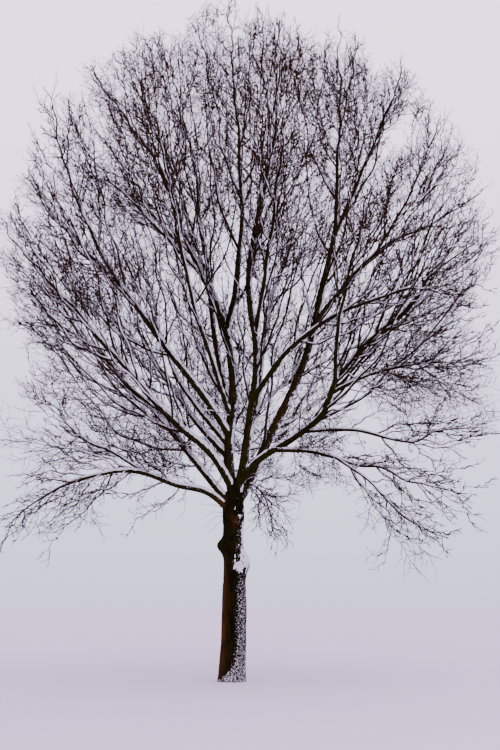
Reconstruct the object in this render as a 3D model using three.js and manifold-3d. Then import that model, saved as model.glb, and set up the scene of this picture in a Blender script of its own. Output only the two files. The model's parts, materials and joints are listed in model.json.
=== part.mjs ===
// A bare broad-leaved tree in winter, 18.7 m high, open grown, with a short trunk and a wide round crown.
// Millimetres. +Z is up, +X is to the right and +Y is away from a viewer who stands in front of the tree.
// The origin is the middle of the flat cut under the trunk, at ground level.
import * as THREE from "three";
import { mergeVertices } from "three/addons/utils/BufferGeometryUtils.js";
import Module from "manifold-3d";

const wasm = await Module();
wasm.setup();

// The gap that every piece keeps to its neighbours.
const GAP = 0.3;

// The trunk from the ground to its fork: its height, and its radii and sideways drift at equal steps up it.
// Its rings crowd towards the ground, where the flare is.
const TRUNK_HEIGHT = 4650;
const TRUNK_RADII = [294, 288, 292, 270, 240, 262, 120];
const TRUNK_DRIFT = [0, 45, 56, 60, 38, 40, 90];
const TRUNK_SIDES = 20;
const TRUNK_RINGS = 20;
const RING_CROWDING = 1.2;

// The root flare: how much wider the foot is, how much its buttresses stand out, and how soon it fades.
const FLARE = 0.12;
const BUTTRESSES = 5;
const BUTTRESS = 0.07;
const FLARE_HEIGHT = 330;

// Swellings on the trunk: height, bearing in degrees from +X towards +Y, how far out, how wide, how tall.
const BURRS = [
  { up: 3030, bearing: 188, out: 165, wide: 0.7, tall: 180 },
  { up: 2640, bearing: -12, out: 130, wide: 0.6, tall: 230 },
  { up: 4120, bearing: 180, out: 55, wide: 0.7, tall: 230 },
];

// The viewer's eye. The limbs were measured as it sees them.
const EYE = new THREE.Vector3(430, -19500, 1650);

// The limbs, each after its parent. at is the share of the parent's length where the limb leaves it, and
// foot is the limb's radius there. way lists where it passes and ends, as [right, up, away]: where the eye
// sees the point against the trunk's plane, and how far behind that plane it lies. Up to the share named
// bare a limb is a bare bough, and beyond it the stem of a mass of twigs. lift is how far the twigs turn up,
// as a share of their length. spread is how long they are against those of the limbs that state none.
const LIMBS = [
  { name: "leader_left", parent: "trunk", at: 0.84, foot: 130, bare: 0.52, lift: 0.15,
    way: [[-90, 5300, 60], [-20, 7200, 120], [-230, 8700, 150], [-1000, 10300, 150], [-2000, 13000, 0],
      [-4200, 16500, -300]] },
  { name: "leader_east", parent: "trunk", at: 0.84, foot: 125, bare: 0.62, lift: 0.15,
    way: [[600, 5000, 300], [1500, 6900, 700], [2200, 9000, 900], [2700, 11600, 900], [2900, 14000, 800],
      [3000, 17900, 400]] },
  { name: "leader_right", parent: "trunk", at: 0.86, foot: 108, bare: 0.5, lift: 0.15,
    way: [[380, 5700, -150], [560, 7700, -400], [420, 10600, -900], [1000, 13400, -1900],
      [1350, 17900, -3100]] },
  { name: "east_low", parent: "trunk", at: 0.95, foot: 84, bare: 0.5, lift: 0.2,
    way: [[600, 5050, -350], [1500, 5650, -800], [2300, 6300, -1200], [2620, 7150, -1400],
      [3300, 8000, -1700], [4590, 9150, -2100], [5160, 9960, -2300], [6650, 11100, -2500]] },
  { name: "west_long", parent: "trunk", at: 0.92, foot: 88, bare: 0.54, lift: 0.2,
    way: [[-500, 5200, -250], [-1400, 6000, -700], [-2700, 7400, -1300], [-3900, 8800, -1800],
      [-5250, 10280, -2300], [-6350, 11700, -2650]] },
  { name: "west_rising", parent: "trunk", at: 0.84, foot: 78, bare: 0.52, lift: 0.25,
    way: [[-600, 4650, 150], [-1600, 5900, 500], [-2800, 7150, 1000], [-3900, 8300, 1600],
      [-5500, 8800, 2300]] },
  { name: "west_low", parent: "trunk", at: 0.81, foot: 74, bare: 0.5, lift: -0.15, spread: 0.7,
    way: [[-600, 4300, -150], [-1400, 4490, -500], [-2460, 4830, -800], [-3730, 4610, -1000],
      [-4850, 4030, -1100], [-5480, 3430, -1200]] },
  { name: "rear_low", parent: "trunk", at: 0.86, foot: 62, bare: 0.42, lift: 0.25,
    way: [[250, 4900, 1000], [350, 5600, 2800], [100, 6600, 5900]] },
  { name: "leader_rear", parent: "leader_right", at: 0.115, foot: 85, bare: 0.48, lift: 0.15,
    way: [[640, 6800, 400], [790, 8500, 1000], [1200, 10000, 2100], [1600, 11500, 3600],
      [1900, 12700, 5300]] },
  { name: "leader_top", parent: "leader_left", at: 0.345, foot: 75, bare: 0.42, lift: 0.1,
    way: [[60, 9700, 0], [200, 12300, -100], [0, 15500, -100], [-200, 18750, -100]] },
  { name: "leader_fork", parent: "leader_top", at: 0.06, foot: 50, bare: 0.42, lift: 0.1,
    way: [[400, 9800, 300], [700, 11700, 800], [750, 14000, 1600], [850, 16000, 2700]] },
  { name: "rear_inner", parent: "leader_left", at: 0.18, foot: 75, bare: 0.48, lift: 0.1,
    way: [[-330, 7400, 350], [-560, 9000, 700], [-850, 11200, 1100], [-1250, 14000, 1500],
      [-2000, 17100, 1500]] },
  { name: "front_left", parent: "leader_left", at: 0.17, foot: 60, bare: 0.46, lift: 0.2,
    way: [[-400, 7200, -300], [-850, 8600, -900], [-1250, 10000, -1700], [-1700, 12400, -3000],
      [-2600, 16300, -4500]] },
  { name: "west_high", parent: "leader_left", at: 0.137, foot: 80, bare: 0.55, lift: 0.15,
    way: [[-600, 6500, -200], [-1600, 7850, -500], [-2950, 9700, -900], [-4100, 11800, -1400],
      [-4700, 13500, -1900], [-5350, 15900, -2500]] },
  { name: "west_mid", parent: "leader_left", at: 0.47, foot: 48, bare: 0.3, lift: 0.2,
    way: [[-2000, 11300, -600], [-2800, 12200, -1200], [-4000, 13500, -1900]] },
  { name: "rear_left_high", parent: "leader_left", at: 0.115, foot: 60, bare: 0.45, lift: 0.2,
    way: [[-950, 6500, 400], [-1650, 7700, 1400], [-2100, 9300, 3100], [-2700, 11700, 5400]] },
  { name: "rear_left_low", parent: "leader_left", at: 0.095, foot: 75, bare: 0.45, lift: 0.25,
    way: [[-700, 5800, 600], [-1450, 6800, 1800], [-2200, 7900, 3200], [-3300, 9000, 5000]] },
  { name: "front_right", parent: "leader_right", at: 0.35, foot: 55, bare: 0.4, lift: 0.2,
    way: [[900, 10600, -1900], [1150, 12500, -3600], [1500, 15600, -5700]] },
  { name: "east_mid", parent: "leader_right", at: 0.22, foot: 66, bare: 0.46, lift: 0.25,
    way: [[1300, 7800, -900], [2500, 8800, -1800], [3880, 9400, -2600], [4900, 9640, -3200],
      [5960, 9400, -3700]] },
  { name: "east_long", parent: "leader_east", at: 0.375, foot: 75, bare: 0.52, lift: 0.2,
    way: [[3000, 9800, 900], [4100, 10900, 800], [5310, 11500, 700], [6000, 11950, 600],
      [6750, 12450, 500]] },
  { name: "east_high", parent: "leader_east", at: 0.55, foot: 55, bare: 0.38, lift: 0.15,
    way: [[3300, 12600, 300], [4000, 14300, -500], [4900, 16600, -1700]] },
  { name: "front_east", parent: "east_low", at: 0.43, foot: 48, bare: 0.35, lift: 0.2,
    way: [[2650, 8200, -1900], [2950, 9700, -3100], [3800, 12900, -5200]] },
  { name: "east_shelf", parent: "east_low", at: 0.4, foot: 44, bare: 0.45, lift: 0.1,
    way: [[3500, 7300, -1500], [4890, 7600, -1400], [5710, 7650, -1250], [6500, 7960, -1100]] },
  { name: "east_lower", parent: "east_low", at: 0.26, foot: 42, bare: 0.5, lift: -0.05, spread: 0.8,
    way: [[3000, 5850, -1300], [4490, 5550, -1500], [5060, 5830, -1500], [6200, 5900, -1350]] },
  { name: "east_drooping", parent: "east_low", at: 0.16, foot: 48, bare: 0.42, lift: -0.1, spread: 0.7,
    way: [[2000, 5300, -1100], [3130, 4960, -1600], [3620, 4930, -1800], [4290, 4560, -2100],
      [4730, 4510, -2250], [5700, 4250, -2600]] },
  { name: "rear_right_high", parent: "leader_east", at: 0.11, foot: 68, bare: 0.46, lift: 0.2,
    way: [[900, 5750, 1000], [1700, 6250, 2100], [2500, 7000, 3300], [3400, 9600, 4900]] },
  { name: "rear_right_low", parent: "leader_rear", at: 0.08, foot: 42, bare: 0.4, lift: 0.2,
    way: [[1100, 6850, 1000], [2600, 7750, 1900], [4040, 8450, 2600], [5500, 8380, 3200]] },
  { name: "west_high_fork", parent: "west_high", at: 0.42, foot: 40, bare: 0, lift: 0.15,
    way: [[-3900, 10700, -300], [-4900, 11800, 600], [-5700, 13300, 1700]] },
  { name: "west_low_fork", parent: "west_low", at: 0.4, foot: 36, bare: 0, lift: 0.1,
    way: [[-2980, 5300, -550], [-3790, 5680, -400], [-4810, 6830, -300]] },
  { name: "east_long_fork", parent: "east_long", at: 0.42, foot: 38, bare: 0, lift: 0.15,
    way: [[4680, 12210, 500], [5350, 13750, 300], [5800, 14900, 200]] },
  { name: "east_hanging", parent: "east_drooping", at: 0.35, foot: 30, bare: 0, lift: 0, spread: 0.6,
    way: [[3360, 4560, -1700], [3920, 3930, -1850], [4520, 3500, -1950], [5100, 3150, -2050]] },
  { name: "trunk_spray", parent: "trunk", at: 0.97, foot: 26, bare: 0, lift: 0, spread: 0.7,
    way: [[480, 4500, 120], [790, 4170, 220], [960, 3650, 320], [1020, 3120, 400]] },
];

// How a limb's radius falls from its foot to its tip and swells at its foot.
const TIP_RADIUS = 10;
const TAPER = 1.2;
const HOLD = 0.6;
const COLLAR = 0.25;
const COLLAR_REACH = 2.5;

// How far a limb's line kinks, as a share of its length, and how many radians its waves across and away run
// through along it.
const KINK = 0.003;
const WAVES_ACROSS = 23;
const WAVES_AWAY = 19;

// Facets of boughs, stems and twigs.
const RING_SPACING = 800;
const STEM_SPACING = 1200;
const LEAST_STEPS = 3;
const THICK = 60;
const THICK_SIDES = 7;
const THIN_SIDES = 6;
const STEM_SIDES = 4;
const TWIG_SIDES = 3;
const TWIG_STEPS = 2;
const SPRIG_STEPS = 1;

// The twigs on a stem: how many for each metre and where each may leave its own stretch of the stem, how
// long they are for the stem that is left beyond them, the angle at which they leave and the share of it that
// is left at their tip, their radius as a share of the stem's, and how much of it they lose. Pairs are the
// least and the most that chance gives. SHORTER lists the shares of its length that are tried on a twig that
// doesn't fit.
const SEED = 7;
const TWIGS_PER_METRE = 1.35;
const TWIG_PLACE = [0.3, 0.8];
const TWIG_SHARE = 0.55;
const TWIG_LEAST = 450;
const TWIG_MOST = 2600;
const TWIG_LENGTH = [0.7, 1.2];
const TWIG_ANGLE = [33, 55];
const TWIG_CURL = 0.55;
const TWIG_TURN = [0, 60];
const TWIG_RADIUS = 0.42;
const TWIG_TAPER = 0.5;
const GOLDEN_ANGLE = 137.5;
const SHORTER = [1, 0.65, 0.4];

// The sprigs on a twig: how many, on which stretch of it, their length and turn, their radius as a share of
// the twig's, and how much thinner they are at its tip. Their rolls of the dice start at SPRIG_ROLLS.
const SPRIGS = 2;
const SPRIG_STRETCH = [0.3, 0.9];
const SPRIG_PLACE = [0, 0.7];
const SPRIG_LENGTH = [0.4, 0.6];
const SPRIG_TURN = [0, 115];
const SPRIG_RADIUS = 0.6;
const SPRIG_THINNING = 0.6;
const SPRIG_ROLLS = 100;

// How much nearer a twig stays to its own limb than to any other, the shares of the twig at which that is
// tested, and the steps in which a limb's path is measured for it.
const SPACE_MARGIN = 80;
const SPACE_SHARES = [0.35, 0.7, 1];
const PATH_STEPS = 12;

// Tolerances: points nearer than WELD are one, and a direction is measured over SHORT_SHARE on both sides.
const WELD = 1e-3;
const SHORT_SHARE = 1e-3;
const UPRIGHT = 0.9;

const TRUNK_BARK = { color: 0x3d3422, roughness: 0.95, metalness: 0 };
const BOUGH_BARK = { color: 0x2f2d1b, roughness: 0.95, metalness: 0 };
const TWIG_BARK = { color: 0x3b2d30, roughness: 0.9, metalness: 0 };

const radians = THREE.MathUtils.degToRad;
const between = ([least, most], chance) => least + (most - least) * chance;

// A number from 0 to 1 that is always the same for the same three numbers: the fraction of a steep sine.
function dice(a, b, c) {
  const s = Math.sin(a * 12.9898 + b * 78.233 + c * 37.719 + SEED) * 43758.5453;
  return s - Math.floor(s);
}

// The real place of a point that the eye sees at right and up against the trunk's plane.
function seen([right, up, away]) {
  const k = (away - EYE.y) / -EYE.y;
  return new THREE.Vector3(EYE.x + (right - EYE.x) * k, away, EYE.z + (up - EYE.z) * k);
}

// A smooth curve through points, as a function of the share of its length.
function smoothPath(points) {
  const curve = new THREE.CatmullRomCurve3(points);
  return (share) => curve.getPointAt(THREE.MathUtils.clamp(share, 0, 1));
}

// The same path with slow seeded kinks that die out at both ends.
function kinked(path, length, index) {
  const turn = 2 * Math.PI;
  return (share) => {
    const swing = KINK * length * Math.sin(Math.PI * share);
    const place = path(share);
    place.x += swing * Math.sin(WAVES_ACROSS * share + turn * dice(index, 1, 0));
    place.y += swing * Math.sin(WAVES_AWAY * share + turn * dice(index, 2, 0));
    return place;
  };
}

// Rings along a path from one share to another: place, direction and two sideways directions that turn as
// little as they can.
function ringsAlong(path, from, to, steps) {
  const rings = [];
  let side = null;
  for (let i = 0; i <= steps; i++) {
    const share = from + ((to - from) * i) / steps;
    const ahead = path(Math.min(share + SHORT_SHARE, 1));
    ahead.sub(path(Math.max(share - SHORT_SHARE, 0))).normalize();
    side ??= Math.abs(ahead.z) < UPRIGHT ? new THREE.Vector3(0, 0, 1) : new THREE.Vector3(1, 0, 0);
    side = side.clone().addScaledVector(ahead, -side.dot(ahead)).normalize();
    rings.push({ share, place: path(share), ahead, side, other: ahead.clone().cross(side) });
  }
  return rings;
}

// A closed rod over the rings. Its radius is a function of the ring and the angle round it. It ends in a
// point or in a flat face.
function rod(rings, radius, sides, pointed) {
  const steps = rings.length - 1;
  const shape = new THREE.CylinderGeometry(pointed ? 0 : 1, 1, 1, sides, steps);
  const spot = shape.getAttribute("position");
  for (let i = 0; i < spot.count; i++) {
    const ring = rings[Math.round((spot.getY(i) + 0.5) * steps)];
    const [x, z] = [spot.getX(i), spot.getZ(i)];
    const angle = Math.atan2(-z, x);
    const onAxis = Math.hypot(x, z) < WELD;
    const r = onAxis ? 0 : radius(ring, angle);
    const place = ring.place.clone().addScaledVector(ring.side, r * Math.cos(angle));
    place.addScaledVector(ring.other, r * Math.sin(angle));
    spot.setXYZ(i, place.x, place.y, place.z);
  }
  return solid(shape);
}

// A three.js geometry as a solid that can be cut and joined.
function solid(shape) {
  const bare = new THREE.BufferGeometry().setAttribute("position", shape.getAttribute("position"));
  bare.setIndex(shape.getIndex());
  const merged = mergeVertices(bare, WELD);
  const vertProperties = merged.getAttribute("position").array;
  const triVerts = new Uint32Array(merged.index.array);
  return new wasm.Manifold(new wasm.Mesh({ numProp: 3, vertProperties, triVerts }));
}

// A solid cut by others, without the scraps that the cuts leave inside its parent.
function cutClear(made, cutters) {
  const left = cutters.reduce((whole, cutter) => whole.subtract(cutter), made);
  return left.decompose().reduce((a, b) => (a.volume() > b.volume() ? a : b));
}

// A solid as a named mesh with its own material.
function node(name, made, looks) {
  const { vertProperties, triVerts } = made.getMesh();
  const shape = new THREE.BufferGeometry();
  shape.setAttribute("position", new THREE.BufferAttribute(vertProperties, 3));
  shape.setIndex(new THREE.BufferAttribute(triVerts, 1));
  shape.computeVertexNormals();
  const mesh = new THREE.Mesh(shape, new THREE.MeshStandardMaterial(looks));
  mesh.name = name;
  return mesh;
}

// Moves the end rings outwards, so that what is cut by this rod stays clear of its ends too.
function stretchEnds(rings, gap) {
  rings[0].place.addScaledVector(rings[0].ahead, -gap);
  rings.at(-1).place.addScaledVector(rings.at(-1).ahead, gap);
  return rings;
}

// The trunk's profile: drift, radius and height in one curve.
const trunkProfile = new THREE.CatmullRomCurve3(
  TRUNK_RADII.map((radius, i) => {
    const height = (TRUNK_HEIGHT * i) / (TRUNK_RADII.length - 1);
    return new THREE.Vector3(TRUNK_DRIFT[i], radius, height);
  }),
);

function trunkPath(share) {
  const { x, z } = trunkProfile.getPoint(share);
  return new THREE.Vector3(x, 0, z);
}

// The trunk's radius at a share of its height and a bearing: its profile, root flare and burrs.
function trunkRadius(share, bearing) {
  const { y, z } = trunkProfile.getPoint(share);
  let radius = y * (1 + Math.exp(-z / FLARE_HEIGHT) * (FLARE + BUTTRESS * Math.cos(BUTTRESSES * bearing)));
  for (const burr of BURRS) {
    const turn = bearing - radians(burr.bearing);
    const round = Math.atan2(Math.sin(turn), Math.cos(turn)) / burr.wide;
    radius += burr.out * Math.exp(-(round ** 2) - ((z - burr.up) / burr.tall) ** 2);
  }
  return radius;
}

function trunkSolid(gap) {
  const rings = [];
  for (let i = 0; i <= TRUNK_RINGS; i++) {
    const share = (i / TRUNK_RINGS) ** RING_CROWDING;
    const [side, other, ahead] = [[1, 0, 0], [0, 1, 0], [0, 0, 1]].map((axis) => new THREE.Vector3(...axis));
    rings.push({ share, place: trunkPath(share), ahead, side, other });
  }
  if (gap) stretchEnds(rings, gap);
  return rod(rings, (ring, angle) => gap + trunkRadius(ring.share, angle), TRUNK_SIDES, false);
}

// Works out every limb's path, length and sample points, parents first.
function layOutLimbs() {
  const paths = new Map([["trunk", trunkPath]]);
  LIMBS.forEach((limb, index) => {
    const root = paths.get(limb.parent)(limb.at);
    const points = [root, ...limb.way.map(seen)];
    limb.length = new THREE.CatmullRomCurve3(points).getLength();
    limb.path = kinked(smoothPath(points), limb.length, index);
    limb.index = index;
    limb.points = Array.from({ length: PATH_STEPS + 1 }, (_, i) => limb.path(i / PATH_STEPS));
    paths.set(limb.name, limb.path);
  });
}

// A limb's radius at a share of its length, with a collar where it leaves its parent.
function limbRadius(limb, share) {
  const taper = (1 - share) ** TAPER * (1 + HOLD * share);
  const collar = COLLAR * Math.exp((-share * limb.length) / (COLLAR_REACH * limb.foot));
  return TIP_RADIUS + (limb.foot - TIP_RADIUS) * (taper + collar);
}

function boughSolid(limb, gap) {
  const steps = Math.max(LEAST_STEPS, Math.round((limb.length * limb.bare) / RING_SPACING));
  const rings = ringsAlong(limb.path, 0, limb.bare, steps);
  if (gap) stretchEnds(rings, gap);
  const sides = limb.foot > THICK ? THICK_SIDES : THIN_SIDES;
  return rod(rings, (ring) => gap + limbRadius(limb, ring.share), sides, false);
}

// The distance from a point to a limb's sampled path.
const stretch = new THREE.Line3();
const nearest = new THREE.Vector3();
function distanceTo(limb, point) {
  let least = Infinity;
  for (let i = 0; i < PATH_STEPS; i++) {
    stretch.set(limb.points[i], limb.points[i + 1]).closestPointToPoint(point, true, nearest);
    least = Math.min(least, nearest.distanceToSquared(point));
  }
  return Math.sqrt(least);
}

// True if a twig stays in the space that is nearer to its own limb than to any other.
function keepsToItsSpace(limb, twig) {
  for (const share of SPACE_SHARES) {
    const point = twig.path(share);
    const own = distanceTo(limb, point) + SPACE_MARGIN;
    if (LIMBS.some((other) => other !== limb && distanceTo(other, point) < own)) return false;
  }
  return true;
}

// The point at a share of a path that is drawn with some straight steps from one share to another.
function onSteps(path, from, to, steps, share) {
  const along = ((share - from) / (to - from)) * steps;
  const step = Math.min(Math.floor(along), steps - 1);
  const [start, end] = [step, step + 1].map((i) => path(from + ((to - from) * i) / steps));
  return start.lerp(end, along - step);
}

// A twig from a root on a path. It leaves at an angle to the path, turned round it, curls back towards the
// path's own way, and is lifted at its tip.
function twigFrom(path, at, root, { turn, angle, length, lift, radius }) {
  const { ahead, side, other } = ringsAlong(path, at, 1, 1)[0];
  const out = side.clone().multiplyScalar(Math.cos(turn)).addScaledVector(other, Math.sin(turn));
  const towards = (a) => ahead.clone().multiplyScalar(Math.cos(a)).addScaledVector(out, Math.sin(a));
  const knee = root.clone().addScaledVector(towards(angle), length / 2);
  const tip = root.clone().addScaledVector(towards(angle * TWIG_CURL), length);
  tip.z += lift * length;
  const curve = new THREE.QuadraticBezierCurve3(root, knee, tip);
  return { path: (share) => curve.getPoint(share), length, radius };
}

// The twig at the longest of some lengths at which it keeps to its limb's space, or none.
function fittedTwigs(limb, path, at, root, shape) {
  const tries = SHORTER.map((k) => twigFrom(path, at, root, { ...shape, length: k * shape.length }));
  return tries.filter((twig) => keepsToItsSpace(limb, twig)).slice(0, 1);
}

// The straight steps that a limb's stem is drawn with.
function stemSteps(limb) {
  return Math.max(LEAST_STEPS, Math.round((limb.length * (1 - limb.bare)) / STEM_SPACING));
}

// The twigs of a limb's stem and the sprigs on them, by the seeded rule.
function twigsOf(limb) {
  const stemLength = limb.length * (1 - limb.bare);
  const count = Math.round((TWIGS_PER_METRE * stemLength) / 1000);
  return Array.from({ length: count }, (_, i) => {
    const chance = (n) => dice(limb.index, i, n);
    const along = (i + between(TWIG_PLACE, chance(3))) / count;
    const at = limb.bare + (1 - limb.bare) * along;
    const root = onSteps(limb.path, limb.bare, 1, stemSteps(limb), at);
    const room = Math.min((1 - along) * stemLength * TWIG_SHARE + TWIG_LEAST, TWIG_MOST);
    const found = fittedTwigs(limb, limb.path, at, root, {
      turn: radians(GOLDEN_ANGLE * i + between(TWIG_TURN, chance(5))),
      angle: radians(between(TWIG_ANGLE, chance(6))),
      length: room * between(TWIG_LENGTH, chance(4)) * (limb.spread ?? 1),
      lift: limb.lift,
      radius: limbRadius(limb, at) * TWIG_RADIUS,
    });
    return found.flatMap((twig) => [{ ...twig, steps: TWIG_STEPS }, ...sprigsOf(limb, twig, i)]);
  }).flat();
}

// The sprigs on a twig.
function sprigsOf(limb, twig, i) {
  return Array.from({ length: SPRIGS }, (_, j) => {
    const chance = (n) => dice(limb.index, SPRIG_ROLLS + i * SPRIGS + j, n);
    const at = between(SPRIG_STRETCH, (j + between(SPRIG_PLACE, chance(7))) / SPRIGS);
    const root = onSteps(twig.path, 0, 1, TWIG_STEPS, at);
    const found = fittedTwigs(limb, twig.path, at, root, {
      turn: radians(180 * j + between(SPRIG_TURN, chance(8))),
      angle: radians(between(TWIG_ANGLE, chance(9))),
      length: twig.length * between(SPRIG_LENGTH, chance(10)),
      lift: limb.lift,
      radius: twig.radius * SPRIG_RADIUS * (1 - SPRIG_THINNING * at),
    });
    return found.map((sprig) => ({ ...sprig, steps: SPRIG_STEPS }));
  }).flat();
}

// A mass of twigs: the limb's stem beyond its bare bough, with its twigs and sprigs joined on.
function massSolid(limb) {
  const stemRings = ringsAlong(limb.path, limb.bare, 1, stemSteps(limb));
  stemRings[0].place.addScaledVector(stemRings[0].ahead, GAP);
  let made = rod(stemRings, (ring) => limbRadius(limb, ring.share), STEM_SIDES, true);
  for (const twig of twigsOf(limb)) {
    const rings = ringsAlong(twig.path, 0, 1, twig.steps);
    made = made.add(rod(rings, (ring) => twig.radius * (1 - TWIG_TAPER * ring.share), TWIG_SIDES, true));
  }
  return made;
}

// The whole tree. Each bough is cut clear of the trunk and of the boughs before it.
function buildTree() {
  const tree = new THREE.Group();
  tree.name = "bare_winter_tree";
  layOutLimbs();
  tree.add(node("trunk", trunkSolid(0), TRUNK_BARK));
  const cutters = [trunkSolid(GAP)];
  for (const limb of LIMBS.filter(({ bare }) => bare > 0)) {
    tree.add(node(limb.name, cutClear(boughSolid(limb, 0), cutters), BOUGH_BARK));
    cutters.push(boughSolid(limb, GAP));
  }
  for (const limb of LIMBS) {
    const mass = massSolid(limb);
    tree.add(node(limb.name + "_twigs", limb.bare > 0 ? mass : cutClear(mass, cutters), TWIG_BARK));
  }
  return tree;
}

export default buildTree();
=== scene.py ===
# %% [markdown]
# # A bare winter tree, almost 19 metres high
# An open-grown broad-leaved tree in winter: a short trunk, some thirty limbs that fan out into a wide round
# crown, a haze of fine twigs, and snow on all that faces up or into the wind. The plain solids of the
# trunk, the boughs and the masses of twigs are there already as a frame. This notebook lays skins with real
# bark relief over the wood, grows the twigs on from the limbs by the rule that made the solids, and lets
# the snow settle. All is in metres, with +Z up, +X to the right and +Y away from the viewer.

# %% Load the frame and keep its box
import itertools
import json
import math

import bpy
import numpy as np
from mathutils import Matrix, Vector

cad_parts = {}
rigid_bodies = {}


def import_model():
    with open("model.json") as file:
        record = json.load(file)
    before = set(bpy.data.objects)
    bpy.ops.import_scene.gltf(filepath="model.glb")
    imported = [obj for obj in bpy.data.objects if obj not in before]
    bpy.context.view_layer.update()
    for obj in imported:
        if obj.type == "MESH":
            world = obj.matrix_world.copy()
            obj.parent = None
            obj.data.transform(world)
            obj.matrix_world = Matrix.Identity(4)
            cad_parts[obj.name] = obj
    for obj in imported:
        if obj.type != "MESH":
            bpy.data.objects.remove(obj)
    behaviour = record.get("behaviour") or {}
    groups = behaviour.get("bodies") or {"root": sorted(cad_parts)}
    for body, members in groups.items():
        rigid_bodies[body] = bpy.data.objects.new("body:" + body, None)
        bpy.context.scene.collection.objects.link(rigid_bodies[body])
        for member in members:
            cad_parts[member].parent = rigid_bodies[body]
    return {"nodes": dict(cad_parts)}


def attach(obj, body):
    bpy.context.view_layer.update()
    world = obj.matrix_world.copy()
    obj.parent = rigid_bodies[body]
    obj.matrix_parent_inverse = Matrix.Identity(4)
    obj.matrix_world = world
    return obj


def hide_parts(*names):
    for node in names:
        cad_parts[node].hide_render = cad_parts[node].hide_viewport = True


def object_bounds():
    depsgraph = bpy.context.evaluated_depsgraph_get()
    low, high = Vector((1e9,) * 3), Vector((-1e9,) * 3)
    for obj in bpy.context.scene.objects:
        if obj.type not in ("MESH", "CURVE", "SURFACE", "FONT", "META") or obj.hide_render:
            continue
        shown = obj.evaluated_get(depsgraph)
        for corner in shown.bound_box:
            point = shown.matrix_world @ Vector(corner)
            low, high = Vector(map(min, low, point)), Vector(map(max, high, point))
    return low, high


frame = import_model()
cad_box = [list(corner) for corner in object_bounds()]
print("frame:", len(frame["nodes"]), "nodes, box", np.round(cad_box, 2).tolist())

# %% [markdown]
# ## The camera
# The viewer stands 19.5 metres in front of the trunk, with the eye at 1.65 metres, and looks up far enough
# to take in the top. Tilting the camera instead of shifting its lens keeps the slight lean of the uprights.

# %% Place the camera
EYE = np.array((0.43, -19.5, 1.65))
TILT_UP = 16.1
LENS = 38.4
SENSOR = 36
FAR = 2000


def linked(name, data):
    """A new object at the origin of the scene, for a mesh, camera or lamp."""
    thing = bpy.data.objects.new(name, data)
    bpy.context.scene.collection.objects.link(thing)
    return thing


camera_data = bpy.data.cameras.new("camera")
camera_data.lens = LENS
camera_data.sensor_width = SENSOR
camera_data.clip_end = FAR
camera = linked("camera", camera_data)
camera.location = EYE
camera.rotation_euler = (math.radians(90 + TILT_UP), 0, 0)
bpy.context.scene.camera = camera
print("camera at", EYE.tolist(), "tilted up by", TILT_UP, "degrees")

# %% [markdown]
# ## Chance and noise
# Two kinds of randomness run through a tree. Single decisions, such as how long a twig is, come from dice
# that always give the same number for the same three keys, so the same tree grows each time. Surfaces need
# noise that changes smoothly from place to place: a random number on each corner of a lattice, blended in
# between. Blender has noise too, but worked out here it can move the vertices, so the relief is in the
# mesh.

# %% Dice
SEED = 7
DICE_KEYS = (12.9898, 78.233, 37.719)
DICE_STRETCH = 43758.5453


def roll(a, b, c):
    """A number from 0 to 1 for three keys: the fraction of a very steep sine of their weighted sum. The
    keys say whose decision it is, and which one."""
    steep = np.sin(a * DICE_KEYS[0] + b * DICE_KEYS[1] + c * DICE_KEYS[2] + SEED) * DICE_STRETCH
    return steep - np.floor(steep)


def between(pair, chance):
    """The number at the share chance of the way from the least to the most."""
    return pair[0] + (pair[1] - pair[0]) * chance


print("first rolls:", [round(float(roll(0, i, 3)), 3) for i in range(3)])

# %% Noise
CORNER_KEYS = np.array((374761393, 668265263, 2147483647))
SEED_KEY = 974711
STIR = 1274126177


def corner_number(cell, seed):
    """A fixed number from -1 to 1 for each whole-number corner: large odd factors and
    shifts stir its bits."""
    stirred = (cell * CORNER_KEYS).sum(-1) + seed * SEED_KEY
    stirred = (stirred ^ (stirred >> 13)) * STIR
    return ((stirred ^ (stirred >> 16)) & 0xFFFF) / 32767.5 - 1


def noise(points, seed):
    """Smooth noise from -1 to 1, another one for each seed: the eight corners round a point, weighed
    along each axis by three times the square less twice the cube of the share of the way."""
    cell = np.floor(points).astype(np.int64)
    inside = points - cell
    inside = inside * inside * (3 - 2 * inside)
    total = 0
    for corner in itertools.product((0, 1), repeat=3):
        weight = np.where(corner, inside, 1 - inside).prod(axis=-1)
        total = total + weight * corner_number(cell + np.array(corner), seed)
    return total


print("noise along one metre:", noise(np.linspace((0, 0, 0), (1, 0, 0), 5), 0).round(2).tolist())

# %% [markdown]
# ## From arrays to meshes
# Every piece is a bundle of tubes: bark round a limb, a twig, a strip of snow. A tube is a grid, one row
# for each ring along its path and one column for each step round it. Skinning a curve with a round bevel
# would be quicker, but the points of a grid can be pushed in and out one by one, which is what bark and
# snow need.

# %% Directions and rings
def unit(vectors):
    """Each vector divided by its length."""
    return vectors / np.maximum(np.linalg.norm(vectors, axis=-1, keepdims=True), 1e-12)


def square_to(ahead, hint):
    """Two directions square to ahead and to each other: the first is what is left of hint across ahead."""
    side = unit(hint - ahead * (hint * ahead).sum(-1, keepdims=True))
    return side, np.cross(ahead, side)


def headings(places):
    """The direction of a path at each of its places, from the place before it to the one after."""
    return unit(np.gradient(places, axis=-2))


def around(centres, side, other, radius, bearing):
    """Points round each centre: radius times side by the cosine and other by the sine of the bearing."""
    return (
        centres[..., None, :]
        + side[..., None, :] * (radius * np.cos(bearing))[..., None]
        + other[..., None, :] * (radius * np.sin(bearing))[..., None]
    )


print("square to up:", *square_to(np.array((0, 0, 1.0)), np.array((1.0, 0, 1.0))))

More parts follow.
